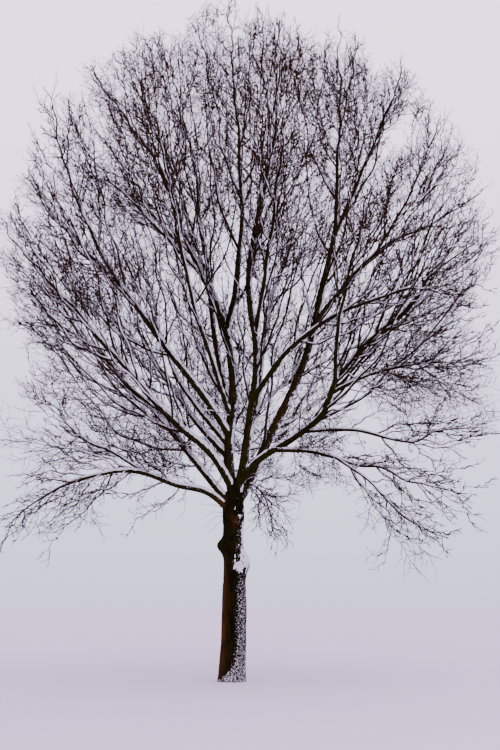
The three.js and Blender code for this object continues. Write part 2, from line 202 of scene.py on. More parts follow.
# %% Faces of tubes
def tube_faces(count, rings, sides, pointed):
    """Faces of tubes whose points are stored ring after ring, then the last point where the tube is
    pointed: bands of four-sided faces, one face that closes the first ring, and one face or triangles
    for the last."""
    start = (np.arange(count) * (rings * sides + pointed))[:, None, None]
    ring = (np.arange(rings - 1) * sides)[None, :, None]
    turn = np.arange(sides)[None, None, :]
    after = (turn + 1) % sides
    corners = [ring + turn, ring + after, ring + sides + after, ring + sides + turn]
    bands = np.stack([(start + c).reshape(-1) for c in corners], axis=1)
    back = start[:, 0] + np.arange(sides)[::-1][None]
    last = start[:, 0] + (rings - 1) * sides
    if not pointed:
        return [bands, back, last + np.arange(sides)[None]]
    tips = np.stack([(last + t[0]).ravel() for t in (turn, after)], axis=1)
    peak = np.repeat(last + sides, sides, axis=1).reshape(-1, 1)
    return [bands, back, np.hstack([tips, peak])]


print("a pointed tube of three rings has", [len(part) for part in tube_faces(1, 3, 4, 1)], "faces")

# %% From points and faces to a piece
def piece(name, points, faces, materials, slot, replaces=(), face_material=None, **attributes):
    """A mesh at the origin from points, arrays of faces and numbers for each point. It
    rides on the root."""
    corners = np.concatenate([part.ravel() for part in faces]).astype(np.int32)
    sizes = np.concatenate([np.full(len(part), part.shape[1], np.int32) for part in faces])
    mesh = bpy.data.meshes.new(name)
    mesh.vertices.add(len(points))
    mesh.vertices.foreach_set("co", np.ascontiguousarray(points, np.float32).ravel())
    mesh.loops.add(len(corners))
    mesh.loops.foreach_set("vertex_index", corners)
    mesh.polygons.add(len(sizes))
    mesh.polygons.foreach_set("loop_start", (np.cumsum(sizes) - sizes).astype(np.int32))
    mesh.polygons.foreach_set("use_smooth", np.ones(len(sizes), bool))
    for material in materials:
        mesh.materials.append(material)
    if face_material is not None:
        mesh.polygons.foreach_set("material_index", face_material.astype(np.int32))
    for key, values in attributes.items():
        layer = mesh.attributes.new(key, "FLOAT", "POINT")
        layer.data.foreach_set("value", np.ascontiguousarray(values, np.float32).ravel())
    mesh.update(calc_edges=True)
    made = linked(name, mesh)
    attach(made, "root")
    if replaces:
        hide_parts(*replaces)
    return made


print("solids that pieces can stand for:", *list(frame["nodes"])[:3], "and others")

# %% [markdown]
# ## The skeleton
# The limbs are those of the solids. For each, the list says which limb it leaves and at what share of that
# limb's length, its radius at the foot, up to what share it is a bare bough, how far its twigs lift and
# spread, how full of branches it is, and the few points that it passes: how far right and up the eye sees
# the point against the trunk's plane, and how far behind that plane it lies. A smooth curve runs through
# them, and the outer stretch of each wanders, as wood does that has grown from bud to bud. A tree generator
# would give a believable tree, but not this one, so the main limbs are listed one by one and only the twigs
# are left to a rule.

# %% Curves through points
def spline(points):
    """A curve through points as a function of a parameter from 0 to 1. Between two points it is the cubic
    whose tangents come from the neighbours, each span weighed by the square root of its length."""
    points = np.asarray(points, float)
    ends = np.vstack([2 * points[0] - points[1], points, 2 * points[-1] - points[-2]])
    roots = np.sqrt(np.linalg.norm(np.diff(ends, axis=0), axis=1))

    def curve(t):
        t = np.asarray(t, float) * (len(points) - 1)
        i = np.clip(np.floor(t).astype(int), 0, len(points) - 2)
        w = (t - i)[:, None]
        before, here, there, beyond = (ends[i + k] for k in range(4))
        a, b, c = (roots[i + k][:, None] for k in range(3))
        leave = ((here - before) / a - (there - before) / (a + b) + (there - here) / b) * b
        meet = ((there - here) / b - (beyond - here) / (b + c) + (beyond - there) / c) * b
        bend = 3 * (there - here) - 2 * leave - meet
        return here + leave * w + bend * w**2 + (2 * (here - there) + leave + meet) * w**3

    return curve


def by_length(curve, steps=200):
    """The same curve as a function of the share of its length, and that length."""
    t = np.linspace(0, 1, steps + 1)
    walked = np.append(0, np.cumsum(np.linalg.norm(np.diff(curve(t), axis=0), axis=1)))
    return lambda share: curve(np.interp(np.clip(share, 0, 1) * walked[-1], walked, t)), walked[-1]


print("through three points:", round(float(by_length(spline([(1, 0, 0), (0, 1, 0), (0, 2, 1)]))[1]), 2))

# %% As the eye sees it
def seen(way):
    """The real places of points given as right, up and away, as the eye sees them on the trunk's plane."""
    right, up, away = np.array(way, float).T
    k = (away - EYE[1]) / -EYE[1]
    return np.stack([EYE[0] + (right - EYE[0]) * k, away, EYE[2] + (up - EYE[2]) * k], axis=1)


def seen_at(points):
    """Where the eye sees points against the trunk's plane: how far right and how far up."""
    k = EYE[1] / (EYE[1] - points[:, 1:2])
    return EYE[[0, 2]] + (points[:, [0, 2]] - EYE[[0, 2]]) * k


print("seen 1 m up, 2 m behind the trunk:", seen([(0, 1, 2)]).round(2).tolist())

# %% The line of the trunk
TRUNK_HEIGHT = 4.65
TRUNK_RADII = (0.294, 0.288, 0.292, 0.27, 0.24, 0.262, 0.12)
TRUNK_DRIFT = (0, 0.045, 0.056, 0.06, 0.038, 0.04, 0.09)
heights = np.linspace(0, TRUNK_HEIGHT, len(TRUNK_RADII))
trunk_profile = spline(np.stack([TRUNK_DRIFT, TRUNK_RADII, heights], axis=1))


def trunk_place(share):
    """The middle of the trunk at a share of its profile."""
    profile = trunk_profile(np.atleast_1d(share))
    return np.stack([profile[:, 0], 0 * profile[:, 0], profile[:, 2]], axis=1)


print("the middle of the trunk at the fork:", trunk_place(1).round(2).tolist())

# %% The limbs
LIMB_KEYS = ("name", "parent", "at", "foot", "bare", "lift", "spread", "full", "way")
LIMBS = [dict(zip(LIMB_KEYS, row)) for row in (
    ("leader_left", "trunk", 0.84, 0.13, 0.52, 0.15, 1, 0.8, ((-0.09, 5.3, 0.06), (-0.02, 7.2, 0.12),
     (-0.23, 8.7, 0.15), (-1, 10.3, 0.15), (-2, 13, 0), (-4.2, 16.5, -0.3))),
    ("leader_east", "trunk", 0.84, 0.125, 0.62, 0.15, 1, 0.7, ((0.6, 5, 0.3), (1.5, 6.9, 0.7),
     (2.2, 9, 0.9), (2.7, 11.6, 0.9), (2.9, 14, 0.8), (3, 17.9, 0.4))),
    ("leader_right", "trunk", 0.86, 0.108, 0.5, 0.15, 1, 0.8, ((0.38, 5.7, -0.15), (0.56, 7.7, -0.4),
     (0.42, 10.6, -0.9), (1, 13.4, -1.9), (1.35, 17.9, -3.1))),
    ("east_low", "trunk", 0.95, 0.084, 0.5, 0.2, 1, 2.0, ((0.6, 5.05, -0.35), (1.5, 5.65, -0.8),
     (2.3, 6.3, -1.2), (2.62, 7.15, -1.4), (3.3, 8, -1.7), (4.59, 9.15, -2.1), (5.16, 9.96, -2.3),
     (6.65, 11.1, -2.5))),
    ("west_long", "trunk", 0.92, 0.088, 0.54, 0.2, 1, 1.6, ((-0.5, 5.2, -0.25), (-1.4, 6, -0.7),
     (-2.7, 7.4, -1.3), (-3.9, 8.8, -1.8), (-5.25, 10.28, -2.3), (-6.35, 11.7, -2.65))),
    ("west_rising", "trunk", 0.84, 0.078, 0.52, 0.25, 1, 1.8, ((-0.6, 4.65, 0.15), (-1.6, 5.9, 0.5),
     (-2.8, 7.15, 1), (-3.9, 8.3, 1.6), (-5.5, 8.8, 2.3))),
    ("west_low", "trunk", 0.81, 0.074, 0.5, -0.15, 0.7, 1.7, ((-0.6, 4.3, -0.15), (-1.4, 4.49, -0.5),
     (-2.46, 4.83, -0.8), (-3.73, 4.61, -1), (-4.85, 4.03, -1.1), (-5.48, 3.43, -1.2))),
    ("rear_low", "trunk", 0.86, 0.062, 0.42, 0.25, 1, 1.4, ((0.25, 4.9, 1), (0.35, 5.6, 2.8),
     (0.1, 6.6, 5.9))),
    ("leader_rear", "leader_right", 0.115, 0.085, 0.48, 0.15, 1, 0.9, ((0.64, 6.8, 0.4), (0.79, 8.5, 1),
     (1.2, 10, 2.1), (1.6, 11.5, 3.6), (1.9, 12.7, 5.3))),
    ("leader_top", "leader_left", 0.345, 0.075, 0.42, 0.1, 1, 0.9, ((0.06, 9.7, 0), (0.2, 12.3, -0.1),
     (0, 15.5, -0.1), (-0.2, 18.75, -0.1))),
    ("leader_fork", "leader_top", 0.06, 0.05, 0.42, 0.1, 1, 0.7, ((0.4, 9.8, 0.3), (0.7, 11.7, 0.8),
     (0.75, 14, 1.6), (0.85, 16, 2.7))),
    ("rear_inner", "leader_left", 0.18, 0.075, 0.48, 0.1, 1, 0.8, ((-0.33, 7.4, 0.35), (-0.56, 9, 0.7),
     (-0.85, 11.2, 1.1), (-1.25, 14, 1.5), (-2, 17.1, 1.5))),
    ("front_left", "leader_left", 0.17, 0.06, 0.46, 0.2, 1, 0.7, ((-0.4, 7.2, -0.3), (-0.85, 8.6, -0.9),
     (-1.25, 10, -1.7), (-1.7, 12.4, -3), (-2.6, 16.3, -4.5))),
    ("west_high", "leader_left", 0.137, 0.08, 0.55, 0.15, 1, 0.9, ((-0.6, 6.5, -0.2), (-1.6, 7.85, -0.5),
     (-2.95, 9.7, -0.9), (-4.1, 11.8, -1.4), (-4.7, 13.5, -1.9), (-5.35, 15.9, -2.5))),
    ("west_mid", "leader_left", 0.47, 0.048, 0.3, 0.2, 1, 1, ((-2, 11.3, -0.6), (-2.8, 12.2, -1.2),
     (-4, 13.5, -1.9))),
    ("rear_left_high", "leader_left", 0.115, 0.06, 0.45, 0.2, 1, 0.6, ((-0.95, 6.5, 0.4), (-1.65, 7.7, 1.4),
     (-2.1, 9.3, 3.1), (-2.7, 11.7, 5.4))),
    ("rear_left_low", "leader_left", 0.095, 0.075, 0.45, 0.25, 1, 1.5, ((-0.7, 5.8, 0.6), (-1.45, 6.8, 1.8),
     (-2.2, 7.9, 3.2), (-3.3, 9, 5))),
    ("front_right", "leader_right", 0.35, 0.055, 0.4, 0.2, 1, 0.7, ((0.9, 10.6, -1.9), (1.15, 12.5, -3.6),
     (1.5, 15.6, -5.7))),
    ("east_mid", "leader_right", 0.22, 0.066, 0.46, 0.25, 1, 1.8, ((1.3, 7.8, -0.9), (2.5, 8.8, -1.8),
     (3.88, 9.4, -2.6), (4.9, 9.64, -3.2), (5.96, 9.4, -3.7))),
    ("east_long", "leader_east", 0.375, 0.075, 0.52, 0.2, 1, 1.3, ((3, 9.8, 0.9), (4.1, 10.9, 0.8),
     (5.31, 11.5, 0.7), (6, 11.95, 0.6), (6.75, 12.45, 0.5))),
    ("east_high", "leader_east", 0.55, 0.055, 0.38, 0.15, 1, 1.3, ((3.3, 12.6, 0.3), (4, 14.3, -0.5),
     (4.9, 16.6, -1.7))),
    ("front_east", "east_low", 0.43, 0.048, 0.35, 0.2, 1, 0.7, ((2.65, 8.2, -1.9), (2.95, 9.7, -3.1),
     (3.8, 12.9, -5.2))),
    ("east_shelf", "east_low", 0.4, 0.044, 0.45, 0.1, 1, 2.4, ((3.5, 7.3, -1.5), (4.89, 7.6, -1.4),
     (5.71, 7.65, -1.25), (6.5, 7.96, -1.1))),
    ("east_lower", "east_low", 0.26, 0.042, 0.5, -0.05, 0.8, 1.8, ((3, 5.85, -1.3), (4.49, 5.55, -1.5),
     (5.06, 5.83, -1.5), (6.2, 5.9, -1.35))),
    ("east_drooping", "east_low", 0.16, 0.048, 0.42, -0.1, 0.7, 1.9, ((2, 5.3, -1.1), (3.13, 4.96, -1.6),
     (3.62, 4.93, -1.8), (4.29, 4.56, -2.1), (4.73, 4.51, -2.25), (5.7, 4.25, -2.6))),
    ("rear_right_high", "leader_east", 0.11, 0.068, 0.46, 0.2, 1, 0.8, ((0.9, 5.75, 1), (1.7, 6.25, 2.1),
     (2.5, 7, 3.3), (3.4, 9.6, 4.9))),
    ("rear_right_low", "leader_rear", 0.08, 0.042, 0.4, 0.2, 1, 2.0, ((1.1, 6.85, 1), (2.6, 7.75, 1.9),
     (4.04, 8.45, 2.6), (5.5, 8.38, 3.2))),
    ("west_high_fork", "west_high", 0.42, 0.04, 0, 0.15, 1, 1, ((-3.9, 10.7, -0.3), (-4.9, 11.8, 0.6),
     (-5.7, 13.3, 1.7))),
    ("west_low_fork", "west_low", 0.4, 0.036, 0, 0.1, 1, 1.5, ((-2.98, 5.3, -0.55), (-3.79, 5.68, -0.4),
     (-4.81, 6.83, -0.3))),
    ("east_long_fork", "east_long", 0.42, 0.038, 0, 0.15, 1, 1, ((4.68, 12.21, 0.5), (5.35, 13.75, 0.3),
     (5.8, 14.9, 0.2))),
    ("east_hanging", "east_drooping", 0.35, 0.03, 0, 0, 0.6, 1.6, ((3.36, 4.56, -1.7), (3.92, 3.93, -1.85),
     (4.52, 3.5, -1.95), (5.1, 3.15, -2.05))),
    ("trunk_spray", "trunk", 0.97, 0.026, 0, 0, 0.7, 5.0, ((0.48, 4.5, 0.12), (0.79, 4.17, 0.22),
     (0.96, 3.65, 0.32), (1.02, 3.12, 0.4))),
)]
print(len(LIMBS), "limbs, the first is", LIMBS[0]["name"])

# %% The paths of the limbs
KINK = 0.003
WAVES = (23, 19)
LOOSE = 0.055
LOOSE_FROM = 0.4
LOOSE_WAVE = 1.5
LOOSE_FINE = 0.6


def swaying(place, length, index, loose):
    """A path with slow waves added, whose height is a share of the length and dies out at the ends as the
    sine of half a turn, and loose times quicker waves, whose height grows as a square along the outer
    stretch."""

    def path(share):
        share = np.atleast_1d(np.asarray(share, float))
        swing = KINK * length * np.sin(np.pi * share)
        across, away = (
            swing * np.sin(wave * share + 2 * np.pi * roll(index, n, 0)) for n, wave in enumerate(WAVES, 1)
        )
        height = loose * LOOSE * np.clip((share - LOOSE_FROM) / (1 - LOOSE_FROM), 0, 1) ** 2
        walked = 2 * np.pi * length / LOOSE_WAVE * share
        first, second = (2 * np.pi * roll(index, n, 4) for n in (1, 2))
        aside = height * (np.sin(walked + first) + LOOSE_FINE * np.sin(2.3 * walked + second))
        behind = height * (np.sin(1.2 * walked + second) + LOOSE_FINE * np.sin(2.1 * walked + first))
        slow = place(share) + np.stack([across, away, 0 * share], axis=1)
        return slow + np.stack([aside, behind, 0.5 * aside], axis=1)

    return path


paths = {"trunk": trunk_place}
for index, limb in enumerate(LIMBS):
    start = paths[limb["parent"]](limb["at"])
    place, limb["length"] = by_length(spline(np.vstack([start, seen(limb["way"])])))
    limb["index"] = index
    paths[limb["name"]] = swaying(place, limb["length"], index, 0)
    limb["path"] = swaying(place, limb["length"], index, 1)
print(len(LIMBS), "limbs,", round(sum(limb["length"] for limb in LIMBS), 1), "metres in all")

# %% The radius of the limbs
TIP_RADIUS = 0.01
TAPER = 1.2
HOLD = 0.6
COLLAR = 0.25
COLLAR_REACH = 2.5


def limb_radius(limb, share):
    """The radius along a limb: the foot's times a power of the share still ahead, held up a little by the
    share behind, and a collar that dies away from the foot."""
    share = np.asarray(share, float)
    taper = (1 - share) ** TAPER * (1 + HOLD * share)
    collar = COLLAR * np.exp(-share * limb["length"] / (COLLAR_REACH * limb["foot"]))
    return TIP_RADIUS + (limb["foot"] - TIP_RADIUS) * (taper + collar)


print("radius along the first limb:", limb_radius(LIMBS[0], np.linspace(0, 1, 5)).round(3).tolist())

# %% [markdown]
# ## Finishes
# Bark is a dark olive brown, greened by algae, nearly black in its furrows, rusty in a few places, and
# dusted with specks of snow on the side that faces the wind. The near-black of the furrows is partly the
# bark's own colour and partly painted shade, and a warm brown down the trunk's left side is painted light.
# A picture of bark would repeat and show its edges, so the colour is worked out in nodes. The mesh carries
# the height of its relief, the rust with that painted light, and the dust as attributes, so the nodes
# darken exactly the furrows that the mesh has. Twigs are too thin to show a pattern: they get plain
# colours, a few shades dealt out by spray. Snow is a rough, greyish white.

# %% Helpers for shaders
DULL = 0.03
NOISE_ROUGHNESS = 0.6


def principled(name, colour, roughness):
    """A new material with its shader's colour, roughness and dull shine set, and the shader's node."""
    material = bpy.data.materials.new(name)
    material.use_nodes = True
    shader = material.node_tree.nodes["Principled BSDF"]
    shader.inputs["Base Color"].default_value = (*colour, 1)
    shader.inputs["Roughness"].default_value = roughness
    shader.inputs["Specular IOR Level"].default_value = DULL
    return material, shader


def noise_node(tree, scale, detail):
    """A noise texture on Object coordinates, which stay put when the object is seen from elsewhere."""
    coordinates = tree.nodes.new("ShaderNodeTexCoord")
    node = tree.nodes.new("ShaderNodeTexNoise")
    for key, value in (("Scale", scale), ("Detail", detail), ("Roughness", NOISE_ROUGHNESS)):
        node.inputs[key].default_value = value
    tree.links.new(coordinates.outputs["Object"], node.inputs["Vector"])
    return node.outputs["Fac"]


def ramp(tree, value, stops):
    """A colour ramp over a value: stops are pairs of a place and a colour, or one number for a grey."""
    node = tree.nodes.new("ShaderNodeValToRGB")
    while len(node.color_ramp.elements) < len(stops):
        node.color_ramp.elements.new(1)
    for element, (place, colour) in zip(node.color_ramp.elements, stops):
        element.position = place
        element.color = (*np.broadcast_to(colour, 3), 1)
    tree.links.new(value, node.inputs["Fac"])
    return node.outputs["Color"]


def mixed(tree, share, below, above, blend="MIX"):
    """A mix of two colours by a share. Each may be a socket or plain numbers."""
    node = tree.nodes.new("ShaderNodeMix")
    node.data_type = "RGBA"
    node.blend_type = blend
    for socket, value in zip((node.inputs[0], node.inputs[6], node.inputs[7]), (share, below, above)):
        if isinstance(value, int):
            socket.default_value = value
        elif isinstance(value, tuple):
            socket.default_value = (*value, 1)
        else:
            tree.links.new(value, socket)
    return node.outputs[2]


def attribute(tree, name):
    """The value of a named attribute of the mesh."""
    node = tree.nodes.new("ShaderNodeAttribute")
    node.attribute_name = name
    return node.outputs["Fac"]


def bump(tree, shader, height, distance, strength):
    """Roughens the shading by a height, as deep as distance in metres."""
    node = tree.nodes.new("ShaderNodeBump")
    node.inputs["Distance"].default_value = distance
    node.inputs["Strength"].default_value = strength
    tree.links.new(height, node.inputs["Height"])
    tree.links.new(node.outputs["Normal"], shader.inputs["Normal"])


print("materials of the solids:", len(bpy.data.materials))

# %% Bark
# The near-black furrow colour is partly the bark's own and partly painted shade in the furrows.
FURROW = (0.0015, 0.001, 0.0005)
HALFWAY = (0.0078, 0.0066, 0.0008)
RIDGE = (0.024, 0.019, 0.002)
ALGAE = (0.0165, 0.0185, 0.0006)
# A warm brown: rust on the limbs, and painted light on the trunk's left side.
RUST_AND_PAINTED_LIGHT = (0.055, 0.02, 0.004)
DUST_WHITE = (0.46, 0.445, 0.45)
DUST_GRAIN = 36
DUST_EDGE = (0.92, 0.98)


def bark_material(name, tone, algae):
    """Bark: furrow to ridge by the mesh's own relief, the furrows' near-black partly painted shade, algae
    over it in soft patches, rust and a painted lit brown where the mesh says so, a fine grain, and a dust of
    snow where a fine noise and the mesh's dust together pass an edge."""
    material, shader = principled(name, RIDGE, roughness=0.92)
    tree = material.node_tree
    toned = [tuple(tone * c for c in colour) for colour in (FURROW, HALFWAY, RIDGE, ALGAE)]
    wood = ramp(tree, attribute(tree, "relief"), list(zip((0, 0.5, 1), toned)))
    patches = ramp(tree, noise_node(tree, scale=1.9, detail=4), [(algae[0], 0), (algae[1], 0.8)])
    greened = mixed(tree, patches, wood, toned[3])
    rusted = mixed(tree, attribute(tree, "rust"), greened, RUST_AND_PAINTED_LIGHT)
    grain = ramp(tree, noise_node(tree, scale=55, detail=3), [(0.3, 0.62), (0.7, 1)])
    grained = mixed(tree, 1, rusted, grain, "MULTIPLY")
    total = tree.nodes.new("ShaderNodeMath")
    tree.links.new(noise_node(tree, DUST_GRAIN, detail=1), total.inputs[0])
    tree.links.new(attribute(tree, "dust"), total.inputs[1])
    specks = ramp(tree, total.outputs[0], [(DUST_EDGE[0], 0), (DUST_EDGE[1], 1)])
    tree.links.new(mixed(tree, specks, grained, DUST_WHITE), shader.inputs["Base Color"])
    bump(tree, shader, noise_node(tree, scale=90, detail=4), distance=0.004, strength=0.7)
    return material


trunk_bark = bark_material("trunk_bark", tone=0.42, algae=(0.5, 0.75))
bough_bark = bark_material("bough_bark", tone=0.9, algae=(0.4, 0.65))
print("bark:", len(trunk_bark.node_tree.nodes), "nodes")

# %% Snow, dead leaves and twigs
SNOW_WHITE = (0.66, 0.64, 0.66)
LEAF_BROWN = (0.16, 0.035, 0.014)
TWIG_SHADES = {
    "branch_olive": (0.014, 0.0115, 0.002),
    "branch_brown": (0.016, 0.009, 0.002),
    "twig_brown": (0.031, 0.014, 0.003),
    "twig_plum": (0.034, 0.011, 0.009),
    "twig_grey": (0.037, 0.018, 0.009),
    "twig_dark": (0.017, 0.007, 0.002),
}
snow_white, snow_shader = principled("snow", SNOW_WHITE, roughness=0.75)
snow_tree = snow_white.node_tree
bump(snow_tree, snow_shader, noise_node(snow_tree, scale=30, detail=3), distance=0.01, strength=0.5)
leaf_brown = principled("dead_leaf", LEAF_BROWN, roughness=0.8)[0]
twig_materials = [principled(name, colour, roughness=0.85)[0] for name, colour in TWIG_SHADES.items()]
print("materials:", len(bpy.data.materials))

# %% [markdown]
# ## The trunk
# The trunk's skin is its profile carried up its middle line: at each height and bearing the radius is the
# profile's, widened near the ground by the root flare with its buttresses, swollen by burrs, and pushed in
# and out by the bark. Bark splits into long plates because the wood under it grows wider but hardly longer,
# so its noise is stretched along the trunk, and a furrow runs wherever the noise changes sign. Sculpting
# would give the same look once. The formula can be tuned and gives it again every time.

# %% The smooth shape of the trunk
FLARE = 0.12
FLARE_HEIGHT = 0.33
BUTTRESSES = 5
BUTTRESS = 0.07
# Each burr: its height, bearing in degrees, how far out it stands, how wide and how tall it is.
BURRS = ((3.03, 188, 0.165, 0.7, 0.18), (2.64, -12, 0.13, 0.6, 0.23), (4.12, 180, 0.055, 0.7, 0.23))


def trunk_radius(share, bearing):
    """The smooth radius at a share of the profile and a bearing: profile, flare with
    buttresses, and burrs."""
    profile = trunk_profile(share)
    up = profile[:, 2][:, None]
    flare = np.exp(-up / FLARE_HEIGHT) * (FLARE + BUTTRESS * np.cos(BUTTRESSES * bearing))
    radius = profile[:, 1][:, None] * (1 + flare)
    for height, facing, out, wide, tall in BURRS:
        turn = bearing - math.radians(facing)
        round_it = np.arctan2(np.sin(turn), np.cos(turn)) / wide
        radius = radius + out * np.exp(-(round_it**2) - ((up - height) / tall) ** 2)
    return radius


def round_trunk(shares, radius, bearing):
    """Points round the trunk's middle line, the bearing measured from +X to +Y."""
    east, north = (np.tile(axis, (len(shares), 1)) for axis in ((1.0, 0, 0), (0, 1.0, 0)))
    return around(trunk_place(shares), east, north, radius, bearing)


print("radius at the foot:", trunk_radius(np.zeros(1), np.array([[0, 0.5, 1]])).round(2).tolist())

# %% The relief of bark
PLATE_SLOPE = 3.2
PLATE_POWER = 0.6
CRACK_SCALE = 2.3
CRACK_SLOPE = 4
CRACKED = 0.25
WARP_SIZE = 3
WARP = 0.6
BARK_GRAIN = 0.1
BARK_GRAIN_SCALE = 5


def bark_relief(rolled, width, stretch, seed):
    """Bark from 0 in a furrow to 1 on a plate. The surface is rolled out first, as (around x, around y,
    along), so there is no seam. A furrow is where a stretched noise changes sign, and a finer noise
    breaks the plates."""
    warp = noise(rolled / (width * WARP_SIZE), seed + 5)[..., None] * width * WARP
    scaled = (rolled + warp) / width / np.array((1, 1, stretch))
    plates = np.clip(np.abs(noise(scaled, seed)) * PLATE_SLOPE, 0, 1) ** PLATE_POWER
    cracks = np.clip(np.abs(noise(scaled * CRACK_SCALE, seed + 1)) * CRACK_SLOPE, 0, 1)
    broken = (1 - CRACKED) * plates + CRACKED * cracks * plates
    return np.clip(broken + BARK_GRAIN * noise(scaled * BARK_GRAIN_SCALE, seed + 2), 0, 1)


LUMP = 0.012
LUMP_SIZE = np.array((0.25, 0.25, 0.5))


def trunk_lumps(points):
    """Slow lumps of the trunk's surface."""
    return LUMP * noise(points / LUMP_SIZE, 9)


print("relief at places:", bark_relief(np.linspace((0, 0, 0), (1, 0, 0), 5), 0.1, 4, 3).round(2).tolist())

# %% Rust and dust, with painted light and shade
# Each warm spot: its place, its size along each axis, and its strength. The two tall spots low on the
# trunk's left side, at 0.9 m and 2 m, paint that side a lit warm brown, which is painted light; the
# others are rust.
WARM_SPOTS = (
    ((0.06, -0.25, 3.6), (0.1, 0.2, 0.13), 0.8), ((-0.25, -0.1, 4.1), (0.1, 0.2, 0.16), 0.9),
    ((-0.25, -0.12, 0.9), (0.13, 0.3, 1.1), 0.8), ((-0.18, -0.2, 2.0), (0.11, 0.3, 0.6), 0.55),
    ((1.2, 0.3, 6.25), (0.4, 0.3, 0.55), 0.75), ((1.55, 0.4, 7.1), (0.2, 0.3, 0.35), 0.45),
)
WARM_GRAIN = np.array((14, 14, 5))
WARM_BREAKS = 0.8


def rust(points):
    """How rusty the bark is, and how warm the painted light on the trunk's left side: a bell round each warm
    spot, broken up by noise.
    """
    total = np.zeros(points.shape[:-1])
    for place, wide, strength in WARM_SPOTS:
        away = (points - np.array(place)) / np.array(wide)
        total = total + strength * np.exp(-(away**2).sum(-1))
    return np.clip(total * (1 + WARM_BREAKS * noise(points * WARM_GRAIN, 31)), 0, 1)


DUST_BEARING = -18
DUST_HALF = 86
DUST_FOOT = 90
DUST_FOOT_UP = 0.18
DUST_SOFT = 36
# The dip at 2.35 m thins the dust just under the big knot, which leaves a darker band there: painted shadow
# of the knot.
DUST_HEIGHTS = (0, 0.5, 2.1, 2.35, 2.9, 4.2, 4.65)
DUST_AMOUNTS_WITH_KNOT_SHADOW = (0.43, 0.39, 0.36, 0.24, 0.32, 0.15, 0.1)


def trunk_dust(up, bearing):
    """How much snow dusts the trunk at a height and a bearing: the side that faces the wind, and near the
    ground almost all round. Less of it just under the big knot leaves a painted shadow of the knot there."""
    turned = np.abs(np.degrees(bearing) - DUST_BEARING)
    turned = np.minimum(turned, 360 - turned)
    half = DUST_HALF + DUST_FOOT * np.exp(-up / DUST_FOOT_UP)
    return np.clip((half - turned) / DUST_SOFT, 0, 1) * np.interp(up, DUST_HEIGHTS, DUST_AMOUNTS_WITH_KNOT_SHADOW)


print("dust at the foot and at the fork:", trunk_dust(np.array((0, TRUNK_HEIGHT)), 0).round(2).tolist())

# %% Skin the trunk
TRUNK_SIDES = 150
TRUNK_RINGS = 380
PLATE_WIDTH = 0.075
PLATE_STRETCH = 4.5
TRUNK_DEPTH = 0.014
SETTLED = 0.02
trunk_shares = np.linspace(0, 1, TRUNK_RINGS)
trunk_bearings = np.linspace(0, 2 * np.pi, TRUNK_SIDES, endpoint=False)[None]
trunk_smooth = trunk_radius(trunk_shares, trunk_bearings)
trunk_up = trunk_place(trunk_shares)[:, 2:]
rolled = round_trunk(trunk_shares, trunk_smooth, trunk_bearings)
trunk_relief = bark_relief(rolled, PLATE_WIDTH, PLATE_STRETCH, 3)
pushed = (TRUNK_DEPTH * (trunk_relief - 1) + trunk_lumps(rolled)) * np.clip(trunk_up / SETTLED, 0, 1)
trunk_points = round_trunk(trunk_shares, trunk_smooth + pushed, trunk_bearings).reshape(-1, 3)
trunk = piece(
    "trunk_skin",
    trunk_points,
    tube_faces(1, TRUNK_RINGS, TRUNK_SIDES, 0),
    [trunk_bark],
    "trunk_bark",
    ["trunk"],
    relief=trunk_relief,
    rust=rust(trunk_points),
    dust=trunk_dust(trunk_up, trunk_bearings),
)
print("trunk:", len(trunk.data.vertices), "points, relief", TRUNK_DEPTH, "deep")

# %% [markdown]
# ## The boughs
# Each limb is one tapering skin from inside its parent to its own tip, the bare bough first and then the
# stem that carries the twigs, with a collar where it leaves. Limbs swell, dip and twist a little at every
# twig they have ever lost, so a coarse noise moves the radius and a finer one makes the bark. Boughs could
# be merged with the trunk by voxels, but that would wash the bark out.

# %% Directions round a limb
UPWARDS = np.array((0, 0, 1.0))
TOWARDS_EYE = np.array((0, -1.0, 0.2))


def limb_frame(limb, shares):
    """Places along a limb, their headings, and two directions square to them. The hint for the first is
    square to the line from foot to tip, and no heading comes near it, so the skin never twists."""
    centres = limb["path"](shares)
    ahead = headings(centres)
    hint, _ = square_to(unit(centres[-1] - centres[0]), TOWARDS_EYE)
    return centres, ahead, *square_to(ahead, np.broadcast_to(hint, ahead.shape))


print("the first limb sets out along", limb_frame(LIMBS[0], np.linspace(0, 1, 9))[1][0].round(2).tolist())

# %% Skin the limbs
LIMB_RING_SPACING = 0.045
LIMB_SIDES = ((0.1, 26), (0.06, 20), (0, 14))
LIMB_END = 0.995
LIMB_PLATE = 0.045
LIMB_STRETCH = 3.5
LIMB_DEPTH = 0.07
LIMB_LUMPS = 0.07
COARSE = np.array((3, 3, 2.2))
FINER = np.array((8, 8, 6))
LIMB_DUST = (0.08, 0.27)
WIND = unit(np.array((0.9, -0.3, 0.25)))


